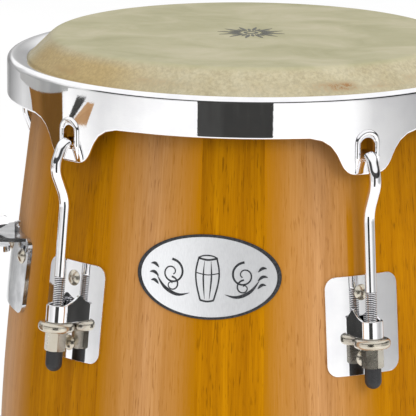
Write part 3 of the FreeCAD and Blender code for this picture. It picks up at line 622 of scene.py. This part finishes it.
def ink_material(name, dark, light):
    """Worn printing ink."""
    shader = Shader(name, Specular_IOR_Level=0.25)
    wear = shader.place.noise(700.0, detail=5.0)
    return shader.finish(wear.ramp((0.4, dark), (0.75, light)), wear, 0.42, 0.6)


def skin_material():
    """Hide: greenish beige and cloudy on top, a little lighter on the collar side as painted light, mottled
    brown round the folded edge.
    """
    shader = Shader("skin", Specular_IOR_Level=0.22)
    place = shader.place
    angle, radius, _ = shader.round_axis()
    clouds = place.noise((20.0, 26.0, 20.0), detail=6.0, roughness=0.6, distortion=0.6)
    patches = place.noise((17.0, 17.0, 30.0), detail=3.0, roughness=0.5, distortion=0.4)
    flecks = place.noise(240.0, detail=5.0, roughness=0.7)
    grit = place.noise(420.0, roughness=0.75)
    mixed = clouds * 0.72 + flecks * 0.28
    top = mixed.ramp((0.36, srgb(156, 152, 118)), (0.5, srgb(169, 164, 132)), (0.64, srgb(181, 174, 146)))
    # Painted light: the collar side's colours are a lighter copy of the top's, as if lit from the front.
    side = mixed.ramp((0.36, srgb(164, 153, 122)), (0.5, srgb(175, 166, 138)), (0.66, srgb(184, 177, 152)))
    fold = radius.span(0.1385, 0.1435)
    tanned = angle.window((-78.0, -62.0), (-34.0, -10.0)) * radius.span(0.139, 0.147, 0.0, 0.85)
    left = angle.window((-62.0, -44.0), (-24.0, -8.0))
    right = angle.window((22.0, 34.0), (44.0, 58.0))
    speckle = patches.span(0.38, 0.58) * grit.span(0.40, 0.58, 0.15, 1.0) * (left + right + 0.22)
    brown = radius.window((0.1475, 0.1512), (0.1520, 0.1555)) * speckle * 0.85
    colour = top.mix(fold, side)
    colour = colour.mix(tanned, srgb(170, 147, 99))
    colour = colour.mix(brown, srgb(142, 104, 66))
    colour = colour.mix(fold, colour.dimmed(grit.span(0.35, 0.65, 0.86, 1.08)))
    shader.bump(flecks * 0.7 + place.noise(1100.0) * 0.3, 0.3, 0.00025)
    return shader.finish(colour, flecks, 0.5, 0.68)


def floor_material():
    """White studio floor, very faintly cloudy."""
    shader = Shader("studio_floor", Specular_IOR_Level=0.0, Roughness=0.9)
    clouds = shader.place.noise(3.0)
    return shader.finish(clouds.ramp((0.3, grey_colour(0.90)), (0.7, grey_colour(0.92))))


def card_material(name, dark, light):
    """A matt card with a cloudy tone."""
    shader = Shader(name, Specular_IOR_Level=0.0, Roughness=1.0)
    return shader.finish(shader.place.noise(6.0, detail=2.0).ramp((0.42, dark), (0.58, light)))


def surroundings_material():
    """The rest of the studio as shiny metal sees it: greys that change round the room and with height."""
    shader = Shader("surroundings", Specular_IOR_Level=0.0, Roughness=1.0)
    angle, _, z = shader.round_axis()
    stops = [((degrees + 180.0) / 360.0, grey_colour(grey)) for degrees, grey in ROOM_GREYS]
    around = angle.span(-180.0, 180.0, curve="LINEAR").ramp(*stops)
    line = z.window((LINE_LOW - 0.05, LINE_LOW + 0.05), (LINE_HIGH - 0.1, LINE_HIGH + 0.1))
    front = angle.window((-74.0, -64.0), (126.0, 140.0))
    level = z.span(0.0, 0.40, 1.7, 1.0) * (1.0 - line * front * 0.93)
    corner = angle.window((-168.0, -158.0), (-140.0, -128.0)) * z.span(1.0, 1.4)
    behind = shader.math("MAXIMUM", corner, z.span(1.2, 2.0)) * (1.0 - front)
    lit = around.dimmed(level).mix(behind, grey_colour(0.9))
    return shader.finish(lit.mix(1.0, grey_colour(0.95), "DARKEN"))


GOLD = wood_material("golden_stave", GOLD_STAVES, srgb(140, 86, 0), srgb(158, 102, 0),
                     srgb(176, 118, 1), srgb(98, 56, 0))
TAN = wood_material("tan_stave", TAN_STAVES, srgb(158, 112, 66), srgb(174, 127, 80),
                    srgb(188, 142, 94), srgb(120, 76, 40), stain=srgb(160, 104, 2))
HOOP_WOOD = wood_material("hoop_wood", TAN_STAVES, srgb(150, 112, 70), srgb(172, 134, 90),
                          srgb(190, 154, 110), srgb(110, 76, 44))
CHROME = metal_material("chrome", (0.94, 0.94, 0.95, 1.0), (0.88, 0.88, 0.90, 1.0), 0.015, 0.04)
NICKEL = metal_material("nickel", (0.68, 0.64, 0.55, 1.0), (0.57, 0.52, 0.43, 1.0), 0.20, 0.30,
                        smudge=0.00003)
PLATE_CHROME = metal_material("worn_chrome", (0.84, 0.85, 0.87, 1.0), (0.52, 0.53, 0.55, 1.0), 0.06, 0.16,
                              scale=90.0)
ZINC = metal_material("zinc_steel", (0.60, 0.61, 0.63, 1.0), (0.46, 0.47, 0.49, 1.0), 0.22, 0.36,
                      scale=200.0)
BADGE_METAL = brushed_material("badge_metal", (0.66, 0.67, 0.69, 1.0), (0.74, 0.75, 0.77, 1.0), 0.48)
CAP_RUBBER = rubber_material("cap_rubber", srgb(26, 26, 27), srgb(58, 58, 60), 1500.0)
FOOT_RUBBER = rubber_material("foot_rubber", srgb(20, 20, 20), srgb(46, 46, 46), 500.0)
SKIN = skin_material()
SKIN_INK = ink_material("skin_ink", srgb(84, 84, 78), srgb(108, 108, 100))
BADGE_INK = ink_material("badge_ink", srgb(36, 37, 40), srgb(66, 68, 72))
THREAD_GROOVE = groove_material()
CARD_TONES = {
    "dark": card_material("dark_card", (0.045, 0.045, 0.043, 1.0), (0.062, 0.062, 0.060, 1.0)),
    "brown": card_material("brown_card", srgb(104, 74, 36), srgb(134, 98, 54)),
    "grey": card_material("grey_card", srgb(150, 153, 153), srgb(176, 178, 178)),
    "tan": card_material("tan_card", srgb(168, 128, 88), srgb(188, 150, 110)),
}


# ---------------- the head

def skin_lift(radius, angle):
    """Small hills in the flat skin, none near the printed mark or the hem."""
    share = clamped((radius - HILLS_START) / 0.03) * clamped((HILLS_END - radius) / 0.02)
    place = Vector((radius * math.sin(angle), radius * math.cos(angle), 0.0)) * HILLS_PER_METRE
    return HILL_HEIGHT * share * noise.noise(place)


def collar_wave(radius, angle):
    """Shallow puckers round the collar, where the hide folds over the bearing edge."""
    share = clamped((radius - PUCKERS_START) / 0.004) * clamped((HEM_RADIUS - radius) / 0.003)
    place = Vector((math.sin(angle), math.cos(angle), 0.0)) * 6.0
    return PUCKER_HEIGHT * share * (noise.noise(place) + 0.5 * noise.noise(place * 3.1))


def hoop_circle(radius, start, end, count):
    """Points round the flesh hoop, from one angle to another, in degrees."""
    return upright(arc((HOOP_RADIUS, HOOP_HEIGHT), radius, start, end, count))


def skin_slope(inward, hem_radius):
    """The skin's rounded shoulder and 45 degree slope, that far inside its outer face."""
    centre = (SKIN_FLAT_RADIUS, HEAD_TOP - SKIN_SHOULDER)
    steps = 8
    points = upright(arc(centre, SKIN_SHOULDER - inward, 90.0, 45.0, steps))
    start = points[-1]
    run = hem_radius - start.x
    for i in range(1, steps + 1):
        points.append(start + Vector((run, 0.0, -run)) * (i / steps))
    return points


def skin_profile():
    """The skin's closed section: top, rounded shoulder, collar, wrap round the flesh hoop and back."""
    flat_radii = (0.0, 0.005, 0.015, 0.03, 0.045, 0.06, 0.075, 0.09, 0.105, 0.12, 0.13)
    flat = upright((radius, HEAD_TOP) for radius in flat_radii)
    outside = flat + skin_slope(0.0, HEM_RADIUS)
    inside = upright([(0.0, HEAD_TOP - SKIN_THICKNESS)])
    inside += skin_slope(SKIN_THICKNESS, HEM_RADIUS - SKIN_THICKNESS)
    wrap = hoop_circle(WRAP_OUTER, 150.0, 430.0, 20) + hoop_circle(WRAP_INNER, 430.0, 150.0, 16)
    return outside + wrap + list(reversed(inside))


def make_skin():
    """The hide, turned from its section, with hills and puckers."""
    profile = skin_profile()
    points = []
    for i in range(SKIN_SEGMENTS):
        angle = 2.0 * math.pi * i / SKIN_SEGMENTS
        for p in profile:
            radius = p.x + collar_wave(p.x, angle)
            height = p.z + skin_lift(p.x, angle)
            points.append(Vector((radius * math.sin(angle), -radius * math.cos(angle), height)))
    faces = grid_faces(SKIN_SEGMENTS, len(profile), close_rows=True)
    skin = add_piece("skin", (points, faces), SKIN, "head_assembly", sharp=60)
    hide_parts("head_skin")


def petal(inner, outer, half_width, angle, height):
    """A slim flat leaf shape that points away from the head's centre."""
    steps = 9
    outline = []
    for side in (-1, 1):
        for i in range(steps + 1):
            t = i / steps if side < 0 else 1.0 - i / steps
            across = side * half_width * math.sin(math.pi * t) ** 0.8 * (1.0 - 0.35 * t)
            outline.append((inner + (outer - inner) * t, across))
    out = direction(angle)
    cross = Vector((-out.y, out.x, 0.0))
    return [out * r + cross * w + Vector((0, 0, height)) for r, w in outline]


def make_mark():
    """A generic rosette printed at the middle of the head: two rings of leaves round a small ring."""
    parts = []
    for ring, (inner, outer, width) in enumerate([(0.0075, 0.0240, 0.0016), (0.0070, 0.0165, 0.0014)]):
        for i in range(PRINT_LEAVES):
            angle = 360.0 / PRINT_LEAVES * (i + 0.5 * ring)
            bottom = petal(inner, outer, width, angle, PRINT_LOW)
            top = petal(inner, outer, width, angle, PRINT_HIGH)
            parts.append((bottom + top, loft_faces(2, len(bottom))))
    inner, outer = PRINT_RING
    section = [(inner, PRINT_LOW), (outer, PRINT_LOW), (outer, PRINT_HIGH), (inner, PRINT_HIGH)]
    sides = 48
    points = []
    for i in range(sides):
        out = direction(360.0 / sides * i)
        points += [out * r + Vector((0, 0, z)) for r, z in section]
    parts.append((points, grid_faces(sides, len(section), close_rows=True, close_columns=True)))
    mark = add_piece("head_rosette", join_parts(parts), SKIN_INK, "head_assembly", sharp=40)


# ---------------- the rim

def tuner_angles():
    """Number and angle of each tuner, read from the nut joints."""
    found = []
    for joint in frame["joints"]:
        if joint["name"].startswith("nut_"):
            x, y, _ = joint["pos_m"]
            found.append((int(joint["name"].split("_")[1]), math.degrees(math.atan2(x, -y))))
    return found


TUNERS = tuner_angles()


def smooth_lobe():
    """How far the rim reaches below its top line, as a smooth function of the distance from a tuner."""
    outline_arcs, outline_depths = zip(*LOBE_OUTLINE)
    arcs = np.linspace(-0.052, 0.052, 1041)
    raw = np.interp(abs(arcs), outline_arcs, outline_depths)
    width = 21
    kernel = np.hanning(width)
    soft = np.convolve(np.pad(raw, width // 2, mode="edge"), kernel / kernel.sum(), mode="valid")
    return lambda arc_length: float(np.interp(arc_length, arcs, soft))


def rim_columns():
    """Angles to sample the rim at, close together over each lobe."""
    angles = []
    reach = math.degrees(0.046 / WALL_OUTER)
    spacing = 360.0 / len(TUNERS)
    for _, tuner in TUNERS:
        angles += [tuner + a for a in np.linspace(-reach, reach, 131)]
        angles += [tuner + a for a in np.linspace(reach, spacing - reach, 42)[1:-1]]
    return sorted(a % 360.0 for a in angles)


def roll_arc(radius, start, end, count):
    """Section points on an arc round the centre of the rim's roll, between two angles in degrees."""
    return upright(arc((CREST_RADIUS, RIM_LINE + ROLL_CENTRE_RISE), radius, start, end, count))


def bowed(start, middle, end, count):
    """Section points on a gentle bow through three (radius, rise) places."""
    points = []
    for i in range(count):
        t = i / count
        place = [2.0 * (t - 0.5) * (t - 1.0) * a - 4.0 * t * (t - 1.0) * b + 2.0 * t * (t - 0.5) * c
                 for a, b, c in zip(start, middle, end)]
        points.append(Vector((place[0], 0.0, RIM_LINE + place[1])))
    return points


def rim_section(depth):
    """The rim's closed section at one angle, down to a depth."""
    edge_radius = (WALL_OUTER - WALL_INNER) / 2.0
    wall_low = RIM_LINE - depth + edge_radius
    wall_high = RIM_LINE + ROLL_CENTRE_RISE
    support = 0.0002
    heights = [wall_high - support, wall_high - 0.004, wall_high - 0.010, (wall_high + wall_low) / 2.0,
               wall_low + 0.004, wall_low + support]
    top = bowed((LIP_RADIUS, 0.0), (BROW_RADIUS, 0.0017), (CREST_RADIUS, 0.0024), 7)
    roll = roll_arc(WALL_OUTER - CREST_RADIUS, 90.0, 0.0, 10)
    outer = upright((WALL_OUTER, z) for z in heights)
    edge = upright(arc((WALL_INNER + edge_radius, wall_low), edge_radius, 0.0, -180.0, 8))
    inner = upright((WALL_INNER, z) for z in reversed(heights))
    inner_roll = roll_arc(WALL_INNER - CREST_RADIUS, 0.0, 90.0, 5)
    under = bowed((LIP_RADIUS, -2.0 * LIP_ROUND), (BROW_RADIUS, -0.0006), (CREST_RADIUS, -0.0002), 6)
    lip = upright(arc((LIP_RADIUS, RIM_LINE - LIP_ROUND), LIP_ROUND, 230.0, 130.0, 3))
    return top + roll + outer + edge + inner + inner_roll + list(reversed(under)) + lip


def eye_outline():
    """Points (across, depth) of an eye, with a half-round top and softly rounded lower corners."""
    points = arc((0.0, EYE_TOP + EYE_HALF_WIDTH), EYE_HALF_WIDTH, 180.0, 360.0, 14)
    side = EYE_HALF_WIDTH - EYE_CORNER
    points += arc((side, EYE_BOTTOM - EYE_CORNER), EYE_CORNER, 0.0, 90.0, 4)
    points += arc((-side, EYE_BOTTOM - EYE_CORNER), EYE_CORNER, 90.0, 180.0, 4)
    return points


def eye_cutter(angle):
    """A prism through the wall, for one eye."""
    outline = eye_outline()
    points = []
    for radius in EYE_CUT_RADII:
        points += [Vector((radius, across, RIM_LINE - depth)) for across, depth in outline]
    return moved((points, loft_faces(2, len(outline))), turn_to(angle))


def bead_radius(share, _, turn):
    """The bead's radius, fading towards both ends."""
    return BEAD_RADIUS * min(1.0, 6.0 * min(share, 1.0 - share) + 0.12)


def bead(angle):
    """The raised bead round one eye, fading into the lobe at its feet."""
    foot = [(-BEAD_HALF_WIDTH * BEAD_SPLAY, BEAD_BOTTOM), (-BEAD_HALF_WIDTH, BEAD_SPLAY_DEPTH)]
    line = foot + arc((0.0, BEAD_TOP + BEAD_HALF_WIDTH), BEAD_HALF_WIDTH, 180.0, 360.0, 16)
    line += [(-across, depth) for across, depth in reversed(foot)]
    points = []
    for across, depth in line:
        radius = math.sqrt(WALL_OUTER ** 2 - across ** 2)
        points.append(Vector((radius, across, RIM_LINE - depth)))
    points = spaced(corner_cut(points, 1), BEAD_STEP)
    return moved(tube(points, bead_radius, 14, Vector((1.0, 0.0, 0.0))), turn_to(angle))


def cut_eyes(rim):
    """Cut the five eyes through the rim, for good."""
    prisms = join_parts([eye_cutter(angle) for _, angle in TUNERS])
    cutter = add_piece("eye_cutter", prisms, CHROME, "head_assembly")
    cut = rim.modifiers.new("eyes", "BOOLEAN")
    cut.object = cutter
    cut.operation = "DIFFERENCE"
    cut.solver = "EXACT"
    graph = bpy.context.evaluated_depsgraph_get()
    uncut = rim.data
    rim.data = bpy.data.meshes.new_from_object(rim.evaluated_get(graph))
    rim.modifiers.clear()
    bpy.data.meshes.remove(uncut)
    bpy.data.objects.remove(cutter)
    rim.data.name = rim.name
    rim.data.set_sharp_from_angle(angle=math.radians(38))


def make_rim():
    """The comfort rim with its lobes, eyes and beads."""
    lobe_depth = smooth_lobe()
    lobe_end = LOBE_OUTLINE[-1][0]
    angles = rim_columns()
    points = []
    for angle in angles:
        nearest = min(abs((angle - t + 180.0) % 360.0 - 180.0) for _, t in TUNERS)
        section = rim_section(lobe_depth(min(math.radians(nearest) * WALL_OUTER, lobe_end)))
        points += [turn_to(angle) @ p for p in section]
    faces = grid_faces(len(angles), len(section), close_rows=True, close_columns=True)
    rim = add_piece("rim_body", (points, faces), CHROME, "head_assembly")
    cut_eyes(rim)
    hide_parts("rim")
    arches = join_parts([bead(angle) for _, angle in TUNERS])
    beads = add_piece("rim_beads", arches, CHROME, "head_assembly", sharp=60)


# ---------------- tuners

def rod_radius_at(depth):
    """Distance of the lower rod's axis from the drum's axis."""
    corner_radius, corner_depth = HOOK_CORNERS[-1]
    return corner_radius + (depth - corner_depth) * math.tan(ROD_LEAN)


def rod_point(depth):
    """A point on the lower rod's axis."""
    return Vector((rod_radius_at(depth), 0.0, RIM_LINE - depth))


def thread_radius(pitch_share):
    """A rounded V thread: radius at a share of one pitch."""
    wave = abs(2.0 * (pitch_share % 1.0) - 1.0)
    return THREAD_OUTER - THREAD_DEPTH * clamped(1.25 * wave - 0.12)


def rod_part():
    """One rod with its hook, swan neck, plain leg and cut thread, and the faces in its grooves."""
    corners = [Vector((r, 0.0, RIM_LINE - d)) for r, d in HOOK_CORNERS]
    corners.append(rod_point(ROD_END_DEPTH))
    line = rounded_path(corners, HOOK_RADII, ROD_STEP)
    plain_end = rod_point(THREAD_START_DEPTH)
    plain = spaced([p for p in line if p.z > plain_end.z] + [plain_end], ROD_STEP)
    points = plain + spaced([plain_end, corners[-1]], THREAD_PITCH / THREAD_STEPS)[1:]
    first_thread = len(plain)

    def radius_at(_, index, turn):
        if index < ROD_TIP_RINGS:
            return ROD_RADIUS * math.sqrt(1.0 - (1.0 - (index + 0.6) / (ROD_TIP_RINGS + 0.6)) ** 2)
        if index < first_thread:
            return ROD_RADIUS
        return thread_radius((index - first_thread) / THREAD_STEPS + turn / (2.0 * math.pi))

    grooves = []
    for face in range(first_thread * ROD_SIDES, (len(points) - 1) * ROD_SIDES):
        row, column = divmod(face, ROD_SIDES)
        share = (row - first_thread + 0.5) / THREAD_STEPS + (column + 0.5) / ROD_SIDES
        if abs(2.0 * (share % 1.0) - 1.0) > GROOVE_SHARE:
            grooves.append(face)
    return tube(points, radius_at, ROD_SIDES, Vector((0.0, 1.0, 0.0))), grooves


def strap_plan():
    """The strap's outer line in plan, from one foot round the rod to the other foot."""
    steps = 12
    foot = [(-STRAP_BACK * (1.0 - i / steps), -STRAP_OUTER) for i in range(steps)]
    bend = arc((0.0, 0.0), STRAP_OUTER, -90.0, 90.0, 26)
    return foot + bend + [(x, -y) for x, y in reversed(foot)]


def strap_top(x):
    """The strap's height, low round the rod and rising towards the plate."""
    share = clamped((STRAP_RISE_START - x) / STRAP_RISE_RUN)
    return STRAP_HEIGHT + (STRAP_PEAK - STRAP_HEIGHT) * share ** 1.7


def strap_part():
    """The strap as a thick band, made in the tilted frame of its rod."""
    plan = strap_plan()
    levels = 6
    points = []
    for scale in (1.0, (STRAP_OUTER - STRAP_THICKNESS) / STRAP_OUTER):
        for x, y in plan:
            inner_x = x * scale if x > 0 else x
            for level in range(levels + 1):
                points.append(Vector((inner_x, y * scale, strap_top(x) * level / levels)))
    tilt = Matrix.Rotation(-ROD_LEAN, 4, "Y")
    shift = Matrix.Translation(rod_point(NUT_SEAT_DEPTH))
    return moved((points, sheet_faces(len(plan), levels + 1)), shift @ tilt)


def plate_drops():
    """Distances down the side plate to sample it at, close together at its rounded corners."""
    height = PLATE_BOTTOM - PLATE_TOP
    steps = 8
    corner = [PLATE_CORNER * (1.0 - math.cos(math.pi / 2.0 * i / steps)) for i in range(steps + 1)]
    rows = 16
    middle = [PLATE_CORNER + (height - 2.0 * PLATE_CORNER) * i / rows for i in range(1, rows)]
    return corner + middle + [height - drop for drop in reversed(corner)]


def plate_inset(drop):
    """How far the side plate's corner brings its edge in, at a distance down it."""
    edge = min(drop, PLATE_BOTTOM - PLATE_TOP - drop)
    if edge >= PLATE_CORNER:
        return 0.0
    return PLATE_CORNER - math.sqrt(max(0.0, PLATE_CORNER ** 2 - (PLATE_CORNER - edge) ** 2))


def plate_part():
    """A side plate with rounded corners, bent to the shell."""
    drops = plate_drops()
    columns = 36
    points = []
    for offset in (CONTACT_GAP, CONTACT_GAP + PLATE_THICKNESS):
        for drop in drops:
            z = RIM_LINE - PLATE_TOP - drop
            radius = shell_radius(z) + offset
            for j in range(columns + 1):
                reach = (PLATE_WIDTH / 2.0 - plate_inset(drop)) * (2.0 * j / columns - 1.0)
                angle = (PLATE_SHIFT + reach) / radius
                points.append(Vector((radius * math.cos(angle), radius * math.sin(angle), z)))
    return points, sheet_faces(len(drops), columns + 1)


def soften(piece, width):
    """Rounded edges on a piece."""
    bevel = piece.modifiers.new("soft_edges", "BEVEL")
    bevel.width = width
    bevel.segments = 3
    bevel.limit_method = "ANGLE"
    bevel.angle_limit = math.radians(40.0)
    bevel.harden_normals = True
    bevel.use_clamp_overlap = True


def make_tuners():
    """A rod, a side plate and a strap at each tuner."""
    rod, grooves = rod_part()
    strap = strap_part()
    side_plate = plate_part()
    for number, angle in TUNERS:
        matrix = turn_to(angle)
        piece = add_piece("rod_%d" % number, moved(rod, matrix), CHROME, "rod_%d" % number, sharp=50)
        # The thread's groove faces take the dark thread_groove metal: painted shade in the grooves.
        piece.data.materials.append(THREAD_GROOVE)
        for face in grooves:
            piece.data.polygons[face].material_index = 1
        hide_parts("tuning_rod_%d" % number)
        plate = add_piece("lug_plate_%d" % number, moved(side_plate, matrix), CHROME, "shell", sharp=40)
        soften(plate, PLATE_BEVEL)
        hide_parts("side_plate_%d" % number)
        band = add_piece("lug_strap_%d" % number, moved(strap, matrix), CHROME, "shell", sharp=40)
        soften(band, STRAP_BEVEL)


# ---------------- badge

def badge_point(across, up, lift):
    """A point on the badge: across and up from its centre, lifted off the shell."""
    z = RIM_LINE - BADGE_DEPTH + up
    radius = shell_radius(z) + lift
    return direction(BADGE_ANGLE + math.degrees(across / radius)) * radius + Vector((0.0, 0.0, z))


def oval_rings(rings, count):
    """Points of oval rings on the badge, each given as (share of its full size, lift)."""
    points = []
    for scale, lift in rings:
        for i in range(count):
            a = 2.0 * math.pi * i / count
            across = BADGE_HALF_WIDTH * scale * math.cos(a)
            points.append(badge_point(across, BADGE_HALF_HEIGHT * scale * math.sin(a), lift))
    return points


def stroke(points, width_at):
    """A flat raised line on the badge through (across, up) points."""
    line = spaced(corner_cut([(x, y, 0.0) for x, y in points], 3), STROKE_STEP)
    low = BADGE_THICKNESS - STROKE_SINK
    high = low + STROKE_THICKNESS
    made = []
    for i, p in enumerate(line):
        tangent = tangent_at(line, i)
        across = Vector((-tangent.y, tangent.x, 0.0)) * (width_at(i / (len(line) - 1)) / 2.0)
        for side, height in ((across, low), (across, high), (-across, high), (-across, low)):
            made.append(badge_point(p.x + side.x, p.y + side.y, height))
    return made, loft_faces(len(line), 4)


def even(width):
    """A stroke as wide all along."""
    return lambda share: width


def leaf(width):
    """A stroke that swells in the middle."""
    return lambda share: LEAF_TIP + width * math.sin(math.pi * share)


def thinning(width, loss):
    """A stroke that loses a share of its width towards its end."""
    return lambda share: width * (1.0 - loss * share)


def scroll(up, size, turns):
    """A curl that winds inwards."""
    steps = 25
    points = []
    for i in range(steps + 1):
        t = i / steps
        radius = size * (1.0 - 0.82 * t)
        a = math.pi * 0.5 + 2.0 * math.pi * turns * t
        points.append((SCROLL_ACROSS + radius * math.cos(a), up + radius * math.sin(a)))
    return points


def side_strokes():
    """The right half of the ornament: half a drum, two scrolls and leaves."""
    strokes = [
        ([(0.0062, 0.0125), (0.0082, 0.0040), (0.0074, -0.0050), (0.0046, -0.0150)], even(0.0011)),
        ([(0.0022, 0.0108), (0.0030, 0.0), (0.0016, -0.0146)], leaf(0.0009)),
        (scroll(0.0020, 0.0088, 1.4), thinning(0.0016, 0.55)),
        (scroll(-0.0062, 0.0052, 1.1), thinning(0.0012, 0.5)),
        ([(0.0120, -0.0110), (0.0200, -0.0135), (0.0300, -0.0088), (0.0350, -0.0010)], leaf(0.0021)),
    ]
    start = LEAVES_ACROSS
    for up, reach in ((0.0055, 0.0058), (-0.0002, 0.0066), (-0.0056, 0.0056)):
        line = [(start, up - 0.0012), (start + reach * 0.5, up + 0.0018), (start + reach, up + 0.0010)]
        strokes.append((line, leaf(0.0018)))
    return strokes


def badge_strokes():
    """A small drum with scrolls and leaves on each side."""
    strokes = []
    for side in (-1, 1):
        strokes += [([(side * x, y) for x, y in line], width) for line, width in side_strokes()]
    strokes.append(([(-0.0066, 0.0128), (0.0, 0.0112), (0.0066, 0.0128)], even(0.0013)))
    head = [(-0.0066, 0.0128), (-0.0030, 0.0146), (0.0030, 0.0146), (0.0066, 0.0128)]
    strokes.append((head, even(0.0009)))
    strokes.append(([(-0.0048, -0.0152), (0.0, -0.0164), (0.0048, -0.0152)], even(0.0012)))
    strokes.append(([(-0.0080, 0.0030), (0.0, 0.0012), (0.0080, 0.0030)], even(0.0007)))
    return strokes


def make_badge():
    """The oval plate, its dark border and its ornament."""
    rings = [(0.5, CONTACT_GAP), (0.985, CONTACT_GAP), (0.985, 0.0009), (0.975, 0.00110),
             (0.955, 0.00118), (0.80, 0.00128), (0.60, 0.00136), (0.40, 0.00141),
             (0.2, BADGE_THICKNESS), (0.02, BADGE_THICKNESS)]
    disc = (oval_rings(rings, BADGE_SIDES), loft_faces(len(rings), BADGE_SIDES))
    plate = add_piece("badge_plate", disc, BADGE_METAL, "shell", sharp=35)
    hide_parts("badge")
    inner = 1.0 - BADGE_BORDER / BADGE_HALF_HEIGHT * 0.8
    section = [(1.0, CONTACT_GAP), (1.0, 0.0011), (0.992, 0.0014), (0.975, 0.0015), (inner + 0.012, 0.0014),
               (inner, 0.0010)]
    points = oval_rings(section, BORDER_SIDES)
    faces = grid_faces(len(section), BORDER_SIDES, close_rows=True, close_columns=True)
    border = add_piece("badge_border", (points, faces), BADGE_INK, "shell", sharp=50)
    drawing = join_parts([stroke(line, width) for line, width in badge_strokes()])
    ornament = add_piece("badge_ornament", drawing, BADGE_INK, "shell", sharp=40)


# ---------------- CAD pieces that keep their shape

def finish_node(name, material):
    """Give a CAD node its material."""
    node = frame["nodes"][name]
    node.data.materials.clear()
    node.data.materials.append(material)


def finish_nodes():
    """Materials for the CAD nodes that no piece replaces."""
    finish_node("gold_staves", GOLD)
    finish_node("tan_staves", TAN)
    finish_node("foot_ring", FOOT_RUBBER)
    finish_node("flesh_hoop", ZINC)
    finish_node("bracket_plate", PLATE_CHROME)
    for name in ("upper_inner_hoop", "lower_inner_hoop"):
        finish_node(name, HOOP_WOOD)
    for name in ("plate_bolts", "bracket_bolts", "seat_washers", "clamp_washer"):
        finish_node(name, NICKEL)
    for name in ("clamp_jaw", "clamp_bolt", "clamp_wing_nut"):
        finish_node(name, CHROME)
    for name in frame["nodes"]:
        if name.endswith(("_nuts", "_strips")):
            finish_node(name, ZINC)
    for number, _ in TUNERS:
        finish_node("tuning_nut_%d" % number, NICKEL)
        finish_node("nut_cap_%d" % number, CAP_RUBBER)


# ---------------- studio

def stage_mesh(name, points, faces, material):
    """A mesh that belongs to the studio."""
    mesh = bpy.data.meshes.new(name)
    mesh.from_pydata(points, [], faces)
    mesh.materials.append(material)
    made = put_in_scene(name, mesh)
    return made


def hide_from(thing, *rays):
    """Hide a thing from some kinds of ray."""
    for ray in rays:
        setattr(thing, "visible_" + ray, False)


def only_in_reflections(card):
    """A card that shiny metal mirrors, and nothing else sees."""
    hide_from(card, "camera", "diffuse", "shadow", "transmission")


def mirrored(angle, distance):
    """The place that the rim's wall shows to the camera: from the wall at an angle, that far along."""
    out = direction(angle)
    start = out * WALL_OUTER
    back = Vector((CAMERA_PLACE[0], CAMERA_PLACE[1], 0.0)) - start
    back.normalize()
    return start + (2.0 * out.dot(back) * out - back) * distance


def make_cards():
    """The cards that the camera sees mirrored in the rim's wall."""
    for name, tone, distance, foot, top in CARDS:
        points = []
        for height, first, last in (foot, top):
            for angle in (first, last):
                place = mirrored(angle, distance)
                points.append((place.x, place.y, height))
        only_in_reflections(stage_mesh(name, points, [(0, 1, 3, 2)], CARD_TONES[tone]))


def make_flag():
    """A dark flag, hung beside the drum, that takes light from its left side and that nothing mirrors."""
    (near, far), (low, high) = FLAG_Y, FLAG_Z
    corners = [(FLAG_X, near, low), (FLAG_X, far, low), (FLAG_X, far, high), (FLAG_X, near, high)]
    flag = stage_mesh("side_flag", corners, [(0, 1, 2, 3)], CARD_TONES["dark"])
    hide_from(flag, "camera", "glossy", "transmission")


def make_room():
    """The surroundings, as a wall round the drum."""
    ring = []
    for i in range(ROOM_SIDES):
        out = direction(360.0 * i / ROOM_SIDES) * ROOM_RADIUS
        ring += [(out.x, out.y, ROOM_FOOT), (out.x, out.y, ROOM_TOP)]
    faces = grid_faces(ROOM_SIDES, 2, close_rows=True)
    only_in_reflections(stage_mesh("room_card", ring, faces, surroundings_material()))


def make_stage():
    """The floor and everything that stands round the drum."""
    r = FLOOR_REACH
    corners = [(-r, -r, FLOOR), (r, -r, FLOOR), (r, r, FLOOR), (-r, r, FLOOR)]
    stage_mesh("floor", corners, [(0, 1, 2, 3)], floor_material())
    make_cards()
    make_flag()
    make_room()


def make_lights():
    """Even light from the air, and a key light from the front right."""
    world = bpy.data.worlds.new("studio_air")
    world.use_nodes = True
    background = world.node_tree.nodes["Background"]
    background.inputs["Color"].default_value = grey_colour(1.0)
    background.inputs["Strength"].default_value = AIR_STRENGTH
    bpy.context.scene.world = world
    data = bpy.data.lights.new("key_light", "AREA")
    data.energy = KEY_POWER
    data.size = KEY_SIZE
    data.color = KEY_COLOUR
    key = put_in_scene("key_light", data)
    key.location = KEY_PLACE
    aim = Vector((0.0, 0.0, RIM_LINE - 0.1)) - Vector(KEY_PLACE)
    key.rotation_euler = aim.to_track_quat("-Z", "Y").to_euler()
    hide_from(key, "glossy")


def make_camera():
    """The camera that sees what the photograph shows."""
    data = bpy.data.cameras.new("camera")
    data.sensor_width = SENSOR_WIDTH
    data.lens = CAMERA_LENS
    data.clip_start = 0.05
    data.clip_end = 200.0
    camera = put_in_scene("camera", data)
    heading = Matrix.Rotation(math.radians(CAMERA_HEADING), 4, "Z")
    pitch = Matrix.Rotation(math.radians(90.0 - CAMERA_PITCH), 4, "X")
    roll = Matrix.Rotation(math.radians(CAMERA_ROLL), 4, "Z")
    camera.matrix_world = Matrix.Translation(CAMERA_PLACE) @ heading @ pitch @ roll
    bpy.context.scene.camera = camera


make_skin()
make_mark()
make_rim()
make_tuners()
make_badge()
finish_nodes()
make_stage()
make_lights()
make_camera()
bpy.context.scene.view_settings.view_transform = "Standard"
